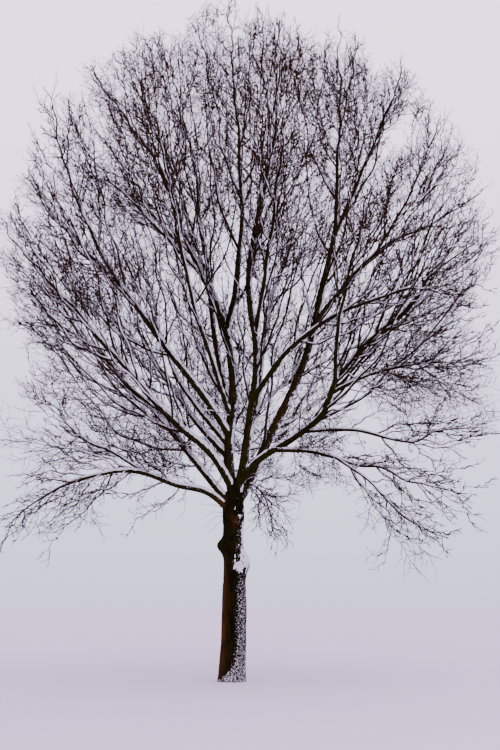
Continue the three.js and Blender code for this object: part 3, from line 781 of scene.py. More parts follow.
def skin_limb(limb):
    """A limb's skin: rings along its path, radius times lumps, less bark that is a share of the radius
    deep."""
    rings = int(limb["length"] / LIMB_RING_SPACING)
    shares = np.linspace(0, LIMB_END, rings)
    centres, ahead, side, other = limb_frame(limb, shares)
    sides = next(count for least, count in LIMB_SIDES if limb["foot"] > least)
    bearing = np.linspace(0, 2 * np.pi, sides, endpoint=False)[None]
    smooth = limb_radius(limb, shares)[:, None]
    along_it = np.broadcast_to((shares * limb["length"])[:, None], (rings, sides))
    rolled = np.stack([smooth * np.cos(bearing), smooth * np.sin(bearing), along_it], axis=-1)
    seed = 40 + limb["index"]
    relief = bark_relief(rolled, LIMB_PLATE, LIMB_STRETCH, seed)
    lumps = LIMB_LUMPS * (noise(rolled * COARSE, seed) + noise(rolled * FINER, seed + 3))
    radius = smooth * (1 + lumps + LIMB_DEPTH * (relief - 1))
    skin = around(centres, side, other, radius, bearing)
    dust = LIMB_DUST[0] + LIMB_DUST[1] * ((skin - centres[:, None]) * WIND).sum(-1) / radius
    return piece(
        limb["name"] + "_skin",
        np.vstack([skin.reshape(-1, 3), limb["path"](1.0)]),
        tube_faces(1, rings, sides, 1),
        [bough_bark],
        "bough_bark",
        [limb["name"]] if limb["bare"] else [],
        relief=np.append(relief, 1),
        rust=np.append(rust(skin), 0),
        dust=np.append(np.clip(dust, 0, 1), 0),
    )


limb_skins = [skin_limb(limb) for limb in LIMBS]
print("limbs:", sum(len(skin.data.polygons) for skin in limb_skins), "faces")

# %% [markdown]
# ## The rule for twigs
# A twig leaves its limb at an angle, turned round it by the golden angle from the one before, so that no
# two shade each other. It curls back towards the limb's own way and lifts its tip to the light. Its length
# is what the limb still has before it, with some chance, and it keeps to the space that is nearer to its
# own limb than to any other: where it would leave that space it is tried shorter, and then skipped. This
# rule made the solids, with the same dice. It then goes on with dice of its own: more branches on the
# limbs, twigs on the branches, sprigs on the twigs and spurs on the sprigs. They end at a ragged round
# edge, which has spikes, and some places are fuller or more open, as in any real crown: lists say where. A
# particle system could scatter twigs faster, but it knows nothing of where a twig's neighbours are.

# %% Twigs as arrays
TWIG_KEYS = ("root", "knee", "tip", "length", "radius", "limb", "code", "spray", "lift")
WANDER = 0.026
WANDER_POWER = 0.5
WANDER_FINE = 0.7
WANDER_WAVES = ((8, 21), (9, 19))
ASKEW = (0.3, -0.9, 0.3)


def bezier(root, knee, tip, share):
    """Places on curves at shares given for each: the tip by the square of the share, the root by the square
    of what is left of it, and the knee by twice the two multiplied."""
    s = share[..., None]
    return (1 - s) ** 2 * root[:, None] + 2 * s * (1 - s) * knee[:, None] + s**2 * tip[:, None]


def along(twigs, share):
    """Places on twigs at shares given for each: the curve, and a slight wander that
    dies out at both ends."""
    places = bezier(twigs["root"], twigs["knee"], twigs["tip"], share)
    chord = unit(twigs["tip"] - twigs["root"])
    side, other = square_to(chord, np.broadcast_to(ASKEW, chord.shape))
    first, second = (2 * np.pi * roll(twigs["limb"], twigs["code"], n)[:, None] for n in (11, 12))
    swing = WANDER * twigs["length"][:, None] ** WANDER_POWER * np.sin(np.pi * share)
    across, away = (
        swing * (np.sin(slow * share + one) + WANDER_FINE * np.sin(quick * share + two))
        for (slow, quick), one, two in zip(WANDER_WAVES, (first, second), (second, first))
    )
    return places + across[..., None] * side[:, None] + away[..., None] * other[:, None]


def middles(twigs):
    """The places halfway from root to tip."""
    return (twigs["root"] + twigs["tip"]) / 2


def taken(twigs, rows):
    """The same arrays for some rows only."""
    return {name: value[rows] for name, value in twigs.items()}


def together(*groups):
    """Several groups of twigs as one."""
    return {name: np.concatenate([group[name] for group in groups]) for name in groups[0]}


print("each twig has", *TWIG_KEYS)

# %% The space of each limb
PATH_STEPS = 12
SPACE_MARGIN = 0.08
SPACE_SHARES = np.array((0.35, 0.7, 1))
limb_marks = np.array([paths[limb["name"]](np.linspace(0, 1, PATH_STEPS + 1)) for limb in LIMBS])


def distances(points):
    """The distance from each point to each limb's marked path: the least over its straight stretches."""
    found = []
    for marks in limb_marks:
        start, run = marks[:-1], np.diff(marks, axis=0)
        gap = points[:, None] - start
        share = np.clip((gap * run).sum(-1) / (run * run).sum(-1), 0, 1)
        found.append(np.linalg.norm(gap - share[..., None] * run, axis=-1).min(axis=1))
    return np.stack(found, axis=1)


def keep_to_space(limb, root, knee, tip, margin):
    """True for the curves that stay nearer to their own limb than to any other by a margin."""
    tests = bezier(root, knee, tip, np.tile(SPACE_SHARES, (len(root), 1)))
    away = distances(tests.reshape(-1, 3))
    rows, owner = np.arange(len(away)), np.repeat(limb, len(SPACE_SHARES))
    own = away[rows, owner]
    away[rows, owner] = np.inf
    return (own + margin <= away.min(axis=1)).reshape(len(root), -1).all(axis=1)


print("marks on the limbs:", limb_marks.shape[:2])

# %% The edge of the crown, its full and its open places
REACH = 0.12
lowest = np.array(cad_box[0]) - REACH
highest = np.array(cad_box[1]) + REACH
SEEN_EDGE = ((0.4, 10.5), (7.1, 8.3))
REAL_EDGE = ((0.4, 0, 10.5), (7.2, 6.2, 8.4))
RAGGED = (0.66, 0.94)
ROUNDED = (0.86, 1.1)


def outness(points, edge):
    """How far out points are, as the square of a share: 1 is the edge of an ellipse or ellipsoid above the
    crown's middle, and of an upright band or column below it."""
    away = (points - edge[0]) / edge[1]
    away[:, -1] = np.maximum(away[:, -1], 0)
    return (away**2).sum(-1)


def bells(points, rows):
    """A sum of bells, one for each place in a list."""
    spots = seen_at(points)
    return sum(
        high * np.exp(-((spots - (right, up)) ** 2).sum(-1) / wide**2) for right, up, wide, high in rows
    )


# Each place, as the eye sees it: right, up, width, and how much further or fuller the crown is there.
SPIKES = (
    (-5.2, 15.0, 1.0, 0.3), (-2.3, 17.4, 0.7, 0.25), (-0.5, 18.6, 0.8, 0.3), (1.2, 18.0, 0.6, 0.2),
    (3.0, 17.2, 0.7, 0.3), (4.7, 15.8, 0.7, 0.25), (6.2, 13.6, 0.7, 0.25), (-4.4, 16.2, 0.6, 0.15),
    (7.0, 11.2, 0.6, 0.15), (-6.4, 12.4, 0.8, 0.2),
)
FULLER = (
    (3.7, 8.2, 0.6, -0.5), (5.0, 7.0, 0.9, 0.6), (4.5, 6.4, 0.6, 0.9), (-0.5, 6.6, 0.7, 0.8),
    (-1.5, 5.2, 0.8, 1.0), (0.8, 16.8, 0.6, 0.5), (2.0, 16.0, 0.6, 0.4), (3.6, 16.2, 0.7, 0.5),
    (4.6, 15.0, 0.7, 0.6), (-3.7, 14.7, 0.7, 0.3), (-3.1, 12.3, 0.7, 0.4), (-4.1, 9.5, 0.8, 0.6),
    (-5.0, 7.2, 0.9, 0.4), (-2.6, 4.7, 0.6, 0.4), (-4.0, 4.7, 0.7, 0.3), (1.9, 5.2, 0.8, 1.6),
    (2.7, 5.9, 0.5, 0.5), (-6.2, 8.8, 0.9, 0.6), (1.4, 10.5, 0.6, 0.6), (1.4, 8.4, 0.6, 0.5),
    (-2.8, 9.8, 0.8, 0.6), (2.8, 15.2, 0.6, 0.9), (2.3, 13.6, 0.5, 0.6), (4.4, 13.5, 0.4, 0.8),
    (-2.6, 12.0, 0.5, 0.4), (0.9, 4.3, 0.7, 0.7), (0.1, 15.3, 0.6, 0.4), (-0.5, 4.8, 0.5, 0.8),
    (-2.4, 7.7, 0.5, 0.4), (-0.9, 14.6, 0.8, -0.4), (-1.6, 9.6, 0.9, -0.6), (-0.3, 10.3, 0.7, -0.6),
    (1.2, 14.8, 0.7, -0.6), (3.5, 11.6, 0.5, 0.3), (1.9, 9.6, 0.6, -0.4), (2.7, 7.0, 0.8, -0.7),
    (-4.5, 12.2, 0.8, -0.3), (-3.6, 7.5, 0.8, -0.5), (-1.8, 7.2, 0.7, -0.5), (5.4, 11.9, 0.8, -0.3),
    (5.3, 9.8, 0.5, -0.2), (5.4, 9.1, 0.5, 0.1), (-0.6, 17.2, 0.6, -0.6), (1.5, 17.6, 0.5, -0.5),
    (2.8, 6.6, 0.4, -2.0), (3.4, 6.2, 0.5, -1.2), (-4.6, 6.2, 0.5, -0.8), (0.75, 6.2, 0.4, -0.5),
    (5.95, 11.3, 0.25, 0.6), (4.05, 12.1, 0.25, 0.6), (5.7, 9.4, 0.25, 0.3), (-3.8, 12.8, 0.25, 0.7),
)


def fullness(twigs):
    """How many twigs grow where these are against what the rule gives: e to the power of a sum of bells."""
    return np.exp(bells(middles(twigs), FULLER))


print("reach", lowest.round(2).tolist(), highest.round(2).tolist())

# %% Grow twigs
SHORTER = (1, 0.65, 0.4)
UPRIGHT = 0.9


def grow(root, ahead, turn, angle, curl, length, lift, radius, limb, code, spray, margin):
    """Twigs from roots with headings. A twig leaves at its angle to ahead, turned round it, has its tip at
    the share curl of that angle, and is lifted there. The longest of three lengths that keeps to its
    space, the crown's edges and the box is taken, and a twig with none is dropped. Twigs of the solids
    know no edge."""
    hint = np.where(np.abs(ahead[:, 2:]) < UPRIGHT, (0, 0, 1.0), (1.0, 0, 0))
    side, other = square_to(ahead, hint)
    out = side * np.cos(turn)[:, None] + other * np.sin(turn)[:, None]
    best = np.zeros(len(root))
    knees, tips = root.copy(), root.copy()
    for share in SHORTER:
        size = (length * share)[:, None]
        leaving, curled = (
            ahead * np.cos(a)[:, None] + out * np.sin(a)[:, None] for a in (angle, angle * curl)
        )
        knee = root + leaving * size / 2
        tip = root + curled * size + UPWARDS * lift[:, None] * size
        fits = ((tip > lowest) & (tip < highest)).all(axis=1) & (best == 0)
        if margin != SPACE_MARGIN:
            dice = roll(spray, 3, 17)
            fits &= outness(seen_at(tip), SEEN_EDGE) - bells(tip, SPIKES) < between(RAGGED, dice)
            fits &= outness(tip, REAL_EDGE) < between(ROUNDED, dice)
        if margin is not None:
            fits &= keep_to_space(limb, root, knee, tip, margin)
        best[fits] = length[fits] * share
        knees[fits], tips[fits] = knee[fits], tip[fits]
    kept = best > 0
    values = (root, knees, tips, best, radius, limb, code, spray, lift)
    return {name: value[kept] for name, value in zip(TWIG_KEYS, values)}


print("a twig is tried at", SHORTER, "of its length")

# %% [markdown]
# ### Branches on the limbs
# First the twigs of the solids, roll for roll. Then long slender forks, and shorter branches that fill the
# inside of the crown, thinned where it is open. Last, a few single branches where they are seen on the real
# tree, and dead stubs: broken ends of wood, bent over, that no rule would grow.

# %% Branches by a rule
GOLDEN_ANGLE = 137.5
LENGTHS = (0.7, 1.2)
TURNS = (0, 60)
SHORT_SHARE = 1e-3
SOLID_RADIUS = 0.42
THICKEST = 0.5
THICKER = 0.002
CLEAR_MOST = 0.5
CLEAR_STEM = 0.08
SOLID = dict(codes=0, per_metre=1.35, place=(0.3, 0.8), share=0.55, least=0.45, most=2.6, longest=math.inf,
             angle=(33, 55), curl=0.55, lift=0, margin=SPACE_MARGIN)
FORKS = dict(codes=1500, per_metre=2.3, clear=1.6, place=(0.1, 0.9), share=0.6, least=1.2, most=4.2,
             longest=0.45, angle=(24, 52), curl=0.55, lift=0.06, margin=-0.8, slender=0.0055)
INNER = [
    dict(codes=500, per_metre=1.4, clear=0.9, place=(0.3, 0.8), share=0.2, least=0.8, most=1.9,
         longest=0.45, angle=(32, 62), curl=0.6, lift=0, margin=-0.6, slender=0.004),
    dict(codes=900, per_metre=0.9, clear=0.6, place=(0.1, 0.9), share=0, least=0.7, most=0.7,
         longest=0.45, angle=(50, 85), curl=0.8, lift=0, margin=None, slender=0.002),
]


def branches_on(limb, rule):
    """Branches on one limb, evenly from where it is clear to its tip with some chance in each one's place.
    A branch is as long as what the limb has before it asks for, and as thick as its own length asks for.
    Those of the solids start beyond the bare bough and are a share of the limb's thickness."""
    solid = rule is SOLID
    clear = min(rule.get("clear", 0) / limb["length"], CLEAR_MOST) if limb["bare"] else CLEAR_STEM
    least = limb["bare"] if solid else clear
    full = 1 if solid else limb["full"]
    count = round(rule["per_metre"] * full * limb["length"] * (1 - least))
    i = np.arange(count)
    codes = rule["codes"] + i
    chance = [roll(limb["index"], codes, n) for n in range(7)]
    at = least + (1 - least) * (i + between(rule["place"], chance[3])) / count
    plain = paths[limb["name"]]
    most = min(rule["most"], limb["length"] * rule["longest"])
    size = np.minimum((1 - at) * limb["length"] * rule["share"] + rule["least"], most)
    size = size * between(LENGTHS, chance[4]) * limb["spread"]
    wood = limb_radius(limb, at)
    if solid:
        radius = np.maximum(wood * SOLID_RADIUS, TIP_RADIUS)
    else:
        radius = np.minimum(TIP_RADIUS + rule["slender"] * size, wood * THICKEST + THICKER)
    wider = 1 if solid else 2 - limb["spread"]
    numbers = np.full(count, limb["index"])
    return grow(
        limb["path"](at),
        unit(plain(np.minimum(at + SHORT_SHARE, 1)) - plain(at - SHORT_SHARE)),
        np.radians(GOLDEN_ANGLE * i + between(TURNS, chance[5])),
        np.radians(between(rule["angle"], chance[6])) * wider,
        rule["curl"],
        size,
        np.full(count, limb["lift"] + rule["lift"]),
        radius,
        numbers,
        codes,
        100 * numbers + i,
        rule["margin"],
    )


def opened(twigs):
    """The twigs without some of those whose middle is seen in an open place."""
    return taken(twigs, roll(twigs["limb"], twigs["code"], 19) < fullness(twigs))


source_branches = together(*[branches_on(limb, SOLID) for limb in LIMBS])
forks = opened(together(*[branches_on(limb, FORKS) for limb in LIMBS]))
inner = opened(together(*[branches_on(limb, rule) for rule in INNER for limb in LIMBS]))
counts = [len(group["limb"]) for group in (source_branches, forks, inner)]
print("branches: %d of the solids, %d forks, %d more" % tuple(counts))

# %% Single branches and dead stubs
# Each: its limb, or a share of the branch before, three points, how far away it goes, its radius.
SINGLE_BRANCHES = (
    ("trunk_spray", (0.79, 4.17), (1.1, 3.93), (1.45, 3.5), 0.1, 0.014),
    ("trunk_spray", (0.6, 4.42), (0.95, 4.22), (1.5, 4.2), -0.2, 0.013),
    ("trunk_spray", (0.5, 4.5), (0.95, 4.66), (1.75, 4.45), 0.3, 0.013),
    ("trunk_spray", (0.72, 4.3), (0.63, 3.85), (0.68, 3.4), 0, 0.011),
    ("trunk_spray", (0.94, 3.7), (1.25, 3.35), (1.35, 3.0), 0.2, 0.01),
    ("east_drooping", (2.93, 4.93), (3.41, 4.0), (4.4, 3.1), -0.4, 0.019),
    (0.67, (3.69, 3.69), (3.74, 3.1), (3.6, 2.56), 0, 0.01),
    ("east_drooping", (4.5, 4.5), (4.85, 4.07), (5.21, 3.69), -0.2, 0.013),
    ("east_shelf", (3.78, 7.36), (4.7, 7.1), (6.2, 7.6), -0.6, 0.018),
    ("east_shelf", (3.6, 7.3), (4.4, 7.85), (5.5, 8.4), 0.7, 0.016),
    ("east_low", (2.9, 7.6), (4.0, 7.3), (5.4, 6.6), 0.8, 0.016),
    ("east_low", (2.8, 7.4), (3.6, 6.8), (4.4, 6.2), -0.8, 0.015),
    ("west_low_fork", (-3.79, 5.68), (-4.6, 5.45), (-5.75, 5.8), 0.3, 0.013),
    ("west_rising", (-2.2, 6.5), (-3.3, 6.9), (-4.6, 6.9), -0.6, 0.015),
    ("east_shelf", (3.9, 7.4), (4.9, 6.95), (6.1, 6.9), -0.4, 0.015),
    ("east_shelf", (4.7, 7.4), (5.3, 7.05), (6.2, 6.5), 0.3, 0.013),
    ("east_shelf", (3.3, 7.2), (3.9, 6.75), (4.9, 6.3), 0.5, 0.013),
    ("west_low", (-3.3, 4.65), (-3.8, 4.1), (-4.45, 3.45), -0.3, 0.012),
    ("west_low", (-2.9, 4.8), (-3.3, 4.3), (-3.4, 3.6), 0.2, 0.011),
    ("west_low", (-1.7, 4.6), (-1.6, 5.1), (-2.1, 5.5), 0.4, 0.012),
    ("east_lower", (2.2, 5.75), (2.0, 5.3), (2.5, 4.9), 0.3, 0.012),
    ("east_drooping", (1.5, 5.2), (1.7, 4.9), (2.2, 4.7), 0.2, 0.012),
)
DEAD_STUBS = (
    ("east_low", (2.45, 6.45), (2.75, 6.56), (3.15, 6.6), -0.1, 0.024),
    ("east_low", (2.32, 6.2), (2.65, 6.36), (3.1, 6.38), -0.2, 0.024),
    ("west_rising", (-1.4, 5.55), (-1.93, 5.63), (-2.45, 5.6), -0.3, 0.016),
    ("leader_left", (-0.15, 5.83), (-0.12, 6.2), (-0.45, 6.31), -0.3, 0.02),
    (1, (-0.45, 6.31), (-0.72, 6.28), (-0.82, 5.94), -0.1, 0.018),
    ("west_long", (-0.96, 5.6), (-1.16, 5.43), (-1.25, 5.2), -0.2, 0.018),
    ("east_low", (2.0, 6.3), (2.4, 6.22), (2.5, 5.77), -0.2, 0.018),
    ("west_low", (-1.18, 4.42), (-1.14, 4.0), (-1.32, 3.67), 0, 0.007),
    ("trunk", (-0.2, 3.9), (-0.57, 4.02), (-0.88, 3.93), -0.2, 0.006),
    ("trunk", (-0.2, 3.75), (-0.5, 3.63), (-0.74, 3.36), -0.1, 0.006),
    ("trunk", (-0.2, 4.0), (-0.57, 4.22), (-0.81, 4.27), 0.1, 0.005),
    ("trunk", (-0.2, 3.82), (-0.49, 3.81), (-0.68, 3.71), -0.3, 0.005),
    ("trunk", (-0.2, 3.65), (-0.46, 3.45), (-0.6, 3.24), 0.2, 0.005),
    ("trunk", (-0.2, 4.12), (-0.54, 4.16), (-0.76, 4.1), -0.1, 0.005),
)
TRUNK_KEEPER = "west_low"
PLACED_LIFT = 0.1
PLACED_STEPS = 300
LIMB_NAMES = [limb["name"] for limb in LIMBS]


def placed(rows, codes):
    """Branches put where the eye sees them: each starts on the wood of a limb, or at a share of the branch
    before, and bends through the second of its three points, which are right and up, to the third."""
    made = []
    for order, (on, first, second, third, away, radius) in enumerate(rows):
        if isinstance(on, str):
            marks = paths[on](np.linspace(0, 1, PLACED_STEPS))
            root = marks[[np.linalg.norm(seen_at(marks) - first, axis=1).argmin()]]
            number = LIMB_NAMES.index(TRUNK_KEEPER if on == "trunk" else on)
        else:
            root = bezier(*(made[-1][key] for key in TWIG_KEYS[:3]), np.array([[on]]))[0]
            number = made[-1]["limb"][0]
        if on == "trunk":
            root = seen([(*first, root[0, 1])])
        middle, tip = seen([(*spot, root[0, 1] + k * away) for spot, k in ((second, 0.5), (third, 1))])
        knee = 2 * middle - (root[0] + tip) / 2
        length = np.linalg.norm(tip - middle) + np.linalg.norm(middle - root[0])
        values = (root, knee[None], tip[None], length, radius, number, codes + order, order, PLACED_LIFT)
        made.append({name: np.atleast_1d(value) for name, value in zip(TWIG_KEYS, values)})
    return together(*made)


single = placed(SINGLE_BRANCHES, 9000)
dead = placed(DEAD_STUBS, 9500)
print("placed by hand:", len(single["limb"]), "branches and", len(dead["limb"]), "stubs")

# %% [markdown]
# ### Twigs, sprigs and spurs
# Each level grows on the one before by one function. A parent gets more children the longer it is, evenly
# spread over its outer stretch, on alternate sides, each a share of the parent's length and a little
# thinner the nearer it stands to the tip. Levels differ only in their numbers, so they are rows of one
# table. What grows in the shade of others dies, so crowded places are thinned, and then those that look too
# dark.

# %% Thin out crowded places
CELL = 0.7


def shed(twigs, cell, most, seed):
    """The twigs without those that stand in another's shade: each cell keeps about the same number, more
    where the tree is full, and the dice say which."""
    _, place, count = np.unique(np.floor(cell).astype(int), axis=0, return_inverse=True, return_counts=True)
    share = most * fullness(twigs) / count[place.ravel()]
    return taken(twigs, roll(twigs["limb"], twigs["code"], seed) < share)


def thinned(twigs, in_cell, in_column, column):
    """Sheds twigs from crowded cells of space, then from columns that the eye looks
    through and finds dark."""
    twigs = shed(twigs, middles(twigs) / CELL, in_cell, 15)
    return shed(twigs, seen_at(middles(twigs)) / column, in_column, 16)


print("forks left if three may share a cell:", len(shed(forks, middles(forks) / CELL, 3, 15)["limb"]))

# %% Children of twigs
ROUND_ABOUT = np.array((-0.01, 0, 0.01))


def children(parents, each, rule, code_step):
    """Children of twigs by a rule: the parents' rows repeated, and each child's place, heading and size."""
    rows = np.repeat(np.arange(len(each)), each)
    order = np.arange(len(rows)) - np.repeat(np.cumsum(each) - each, each)
    near = taken(parents, rows)
    limb = near["limb"]
    code = rule["codes"] + near["code"] * code_step + order
    chance = {n: roll(limb, code, n) for n in (7, 8, 9, 10)}
    share = between(rule["stretch"], (order + between(rule["place"], chance[7])) / each[rows])
    trio = along(near, share[:, None] + ROUND_ABOUT)
    radius = near["radius"] * rule["radius"] * (1 - rule["thinning"] * share)
    return grow(
        trio[:, 1],
        unit(trio[:, 2] - trio[:, 0]),
        np.pi * order + np.radians(between(rule["turn"], chance[8])),
        np.radians(between(rule["angle"], chance[9])),
        rule["curl"],
        near["length"] * between(rule["size"], chance[10]),
        near["lift"] * rule["kept"] + rule["lift"],
        np.maximum(radius, rule["least"]),
        limb,
        code,
        near["spray"],
        rule["margin"],
    )


EVENED = 0.7


def offspring(parents, rule):
    """Children in numbers by length: so many a metre, more where the tree is full, from one to the most."""
    metre = rule["metre"] * fullness(parents) ** EVENED
    each = np.clip(np.round(metre * parents["length"]).astype(int), 1, rule["most"])
    return children(parents, each, rule, rule["most"])


print("the fullest fork is", round(float(fullness(forks).max()), 1), "times as full as the rule")

# %% Grow the finer levels
SPRIG = dict(codes=100, each=2, stretch=(0.3, 0.9), place=(0, 0.7), size=(0.4, 0.6), angle=(33, 55),
             curl=0.55, turn=(0, 115), radius=0.6, thinning=0.6, least=0, kept=1, lift=0,
             margin=SPACE_MARGIN)
FINE = dict(stretch=(0.12, 0.97), place=(0, 0.8), angle=(35, 70), turn=(0, 120), kept=0.4, margin=None)
ON_FORKS = dict(FINE, codes=3000, most=13, metre=3.2, size=(0.22, 0.48), angle=(30, 58), curl=0.6,
                radius=0.5, least=0.011, thinning=0.4, kept=0.6, lift=0.03, margin=-0.9)
LEVELS = dict(
    twigs=dict(FINE, codes=1000, most=14, metre=6.0, stretch=(0.1, 0.97), size=(0.26, 0.5), angle=(34, 66),
               curl=0.75, radius=0.7, least=0.009, thinning=0.4, lift=0.04, margin=-1.0),
    sprigs=dict(FINE, codes=20000, most=10, metre=8.5, size=(0.35, 0.65), curl=0.8, radius=0.75,
                least=0.007, thinning=0.3, lift=0.04),
    spurs=dict(FINE, codes=200000, most=2, metre=4.5, stretch=(0.3, 1.0), place=(0, 0.9), size=(0.4, 0.65),
               curl=0.85, radius=0.9, least=0.006, thinning=0.3, lift=0.05),
)
BRANCH_CROWD = dict(in_cell=7, in_column=9, column=0.75)
TWIG_CROWD = dict(in_cell=15, in_column=11, column=0.4)
SPRIG_CROWD = (0.22, 15)
on_forks = offspring(forks, ON_FORKS)
branches = together(source_branches, single, thinned(together(inner, on_forks), **BRANCH_CROWD))
two_each = np.full(len(source_branches["limb"]), SPRIG["each"])
source_sprigs = children(source_branches, two_each, SPRIG, SPRIG["each"])
twigs = together(source_sprigs, thinned(offspring(branches, LEVELS["twigs"]), **TWIG_CROWD))
sprigs = offspring(twigs, LEVELS["sprigs"])
sprigs = shed(sprigs, seen_at(middles(sprigs)) / SPRIG_CROWD[0], SPRIG_CROWD[1], 18)
spurs = offspring(sprigs, LEVELS["spurs"])
levels = dict(forks=forks, branches=branches, stubs=dead, twigs=twigs, sprigs=sprigs, spurs=spurs)
for name, group in levels.items():
    print(name, len(group["limb"]), "mean length", round(float(group["length"].mean()), 2))

# %% [markdown]
# ### One mesh for each mass
# All that grows from one limb is joined into one mesh and stands for that limb's mass of twigs. A branch is
# a tube of four or six sides and bends often, a twig has three sides, and a spur is one long pyramid:
# nobody can see its sides, and there are tens of thousands. Each spray takes one of the plain shades. A few
# dead leaves still cling to the sprigs, each a curled flake, which is all that shows of one at this size.

# %% Tubes round twigs
TIP_SHARE = 0.45
NEAR_UPRIGHT = (0.1, -0.2, 0.97)


def skin_twigs(twigs, rings, sides):
    """Tubes round twigs. The radius falls in a straight line to a share of the root's, then runs into a
    point."""
    count = len(twigs["limb"])
    share = np.linspace(0, 1, rings + 1)
    places = along(twigs, np.tile(share, (count, 1)))
    ahead = headings(places)[:, :-1]
    hint, _ = square_to(unit(places[:, -1] - places[:, 0]), np.broadcast_to(NEAR_UPRIGHT, (count, 3)))
    side, other = square_to(ahead, np.broadcast_to(hint[:, None], ahead.shape))
    radius = twigs["radius"][:, None] * (1 - (1 - TIP_SHARE) * share[:-1])
    bearing = np.linspace(0, 2 * np.pi, sides, endpoint=False)
    skin = around(places[:, :-1], side, other, radius[..., None], bearing)
    points = np.concatenate([skin.reshape(count, -1, 3), places[:, -1:]], axis=1)
    return points.reshape(-1, 3), tube_faces(count, rings, sides, 1)


def joined(parts):
    """Several bodies' points and faces as one."""
    offsets = np.cumsum([0] + [len(points) for points, _ in parts])
    faces = [face + offset for (_, group), offset in zip(parts, offsets) for face in group]
    return np.concatenate([points for points, _ in parts]), faces


print("the stubs have", len(skin_twigs(dead, 14, 6)[0]), "points")

# %% Dead leaves
LEAF_WIDTH = 0.03
LEAF_THICKNESS = 0.006
LEAF_HEIGHT = 0.035
LEAF_FACES = np.array([
    (0, 1, 2), (0, 2, 3), (0, 3, 4), (0, 4, 1), (5, 2, 1), (5, 3, 2), (5, 4, 3), (5, 1, 4),
])
LEAVES = (
    (4.39, 5.88), (3.81, 5.2), (3.77, 4.4), (5.2, 6.5), (4.05, 12.1), (1.66, 5.2), (-0.7, 6.5),
    (-2.9, 8.5), (2.5, 9.3), (5.8, 11.2), (-3.8, 12.2), (4.9, 7.0), (3.4, 5.6), (-4.4, 6.0),
)


def dead_leaf(order, place):
    """A leaf hung from the tip of the sprig that is seen nearest to a place: a flat body with a point up
    and one down and four corners round."""
    tips = levels["sprigs"]["tip"]
    hold = tips[np.linalg.norm(seen_at(tips) - place, axis=1).argmin()]
    turn = 2 * np.pi * roll(order, 1, 21)
    across = np.array((math.cos(turn), math.sin(turn), 0.3)) * LEAF_WIDTH
    thin = np.array((-math.sin(turn), math.cos(turn), 0.2)) * LEAF_THICKNESS
    middle = hold - UPWARDS * LEAF_HEIGHT
    low = hold - 2 * UPWARDS * LEAF_HEIGHT + thin * 2
    points = [hold, middle + across, middle + thin, middle - across, middle - thin, low]
    return np.array(points), [LEAF_FACES]


leaf_parts = [dead_leaf(order, place) for order, place in enumerate(LEAVES)]
piece("dead_leaves", *joined(leaf_parts), [leaf_brown], "twigs")
print("dead leaves:", len(LEAVES))

# %% One mesh for each mass
# Each level: its rings, its sides, and the shades that its sprays take in turn.
LOOKS = dict(forks=(18, 6, (0, 1)), branches=(12, 4, (0, 1)), stubs=(14, 6, (0, 1)),
             twigs=(5, 3, (1, 2, 3)), sprigs=(2, 3, (2, 3, 5)), spurs=(1, 3, (3, 2, 4)))


def twig_mass(limb):
    """All branches, twigs, sprigs and spurs of one limb as one mesh, each with its spray's shade."""
    parts, shades = [], []
    for name, (rings, sides, choices) in LOOKS.items():
        own = taken(levels[name], levels[name]["limb"] == limb["index"])
        if len(own["limb"]):
            parts.append(skin_twigs(own, rings, sides))
            shade = np.array(choices)[own["spray"] % len(choices)]
            shades += [np.repeat(shade, len(faces) // len(shade)) for faces in parts[-1][1]]
    name, shades = limb["name"], np.concatenate(shades)
    return piece(name + "_spray", *joined(parts), twig_materials, "twigs", [name + "_twigs"], shades)


masses = [twig_mass(limb) for limb in LIMBS]
mass_faces = [len(mass.data.polygons) for mass in masses]
print("masses:", len(masses), "with", sum(mass_faces), "faces, the largest", max(mass_faces))

# %% [markdown]
# ## Snow
# It has snowed with a wind from the right. Snow lies where a surface faces up, and is blown on to steep
# wood where it faces the wind. So its depth is worked out from the direction that the surface faces, less a
# threshold, with noise to break it up. Where the depth comes out below nothing the snow sinks under the
# bark and doesn't show. Each strip is a closed body: an outer side that is the depth above the bark, and an
# inner side that is always inside the wood.

# %% How deep snow lies
LAID = (0.5, 0.88)
BLOWN = (0.74, 1.15)
LEE_COST = 0.35
SNOW_COST = (0.15, 0.12)
SNOW_GRAIN = ((0.45, 3.1), (0.35, 11), (0.25, 34))


def snow_depth(normal, place, seed):
    """Snow from below 0, where there is none, to 1: how far the surface faces up past one angle, which is
    steeper in the lee, or into the wind past another, whichever is more, with noise of three sizes."""
    faced = (normal * WIND).sum(-1)
    up = np.clip((normal[..., 2] + LEE_COST * faced - LAID[0]) / (LAID[1] - LAID[0]), -1, 1)
    windward = np.clip((faced - BLOWN[0]) / (BLOWN[1] - BLOWN[0]), -1, 1)
    breaks = sum(size * noise(place * scale, seed + n) for n, (size, scale) in enumerate(SNOW_GRAIN))
    return np.maximum(up, windward - SNOW_COST[0]) + breaks - SNOW_COST[1]


print("on level wood:", round(float(snow_depth(UPWARDS, 0 * UPWARDS, 0)), 2))

# %% Strips of snow
WINDOW = math.radians(105)
CATCH = unit(0.75 * UPWARDS + 0.65 * WIND)
EDGE_SUNK = 0.3
BELOW = 0.2
ASIDE = 0.5


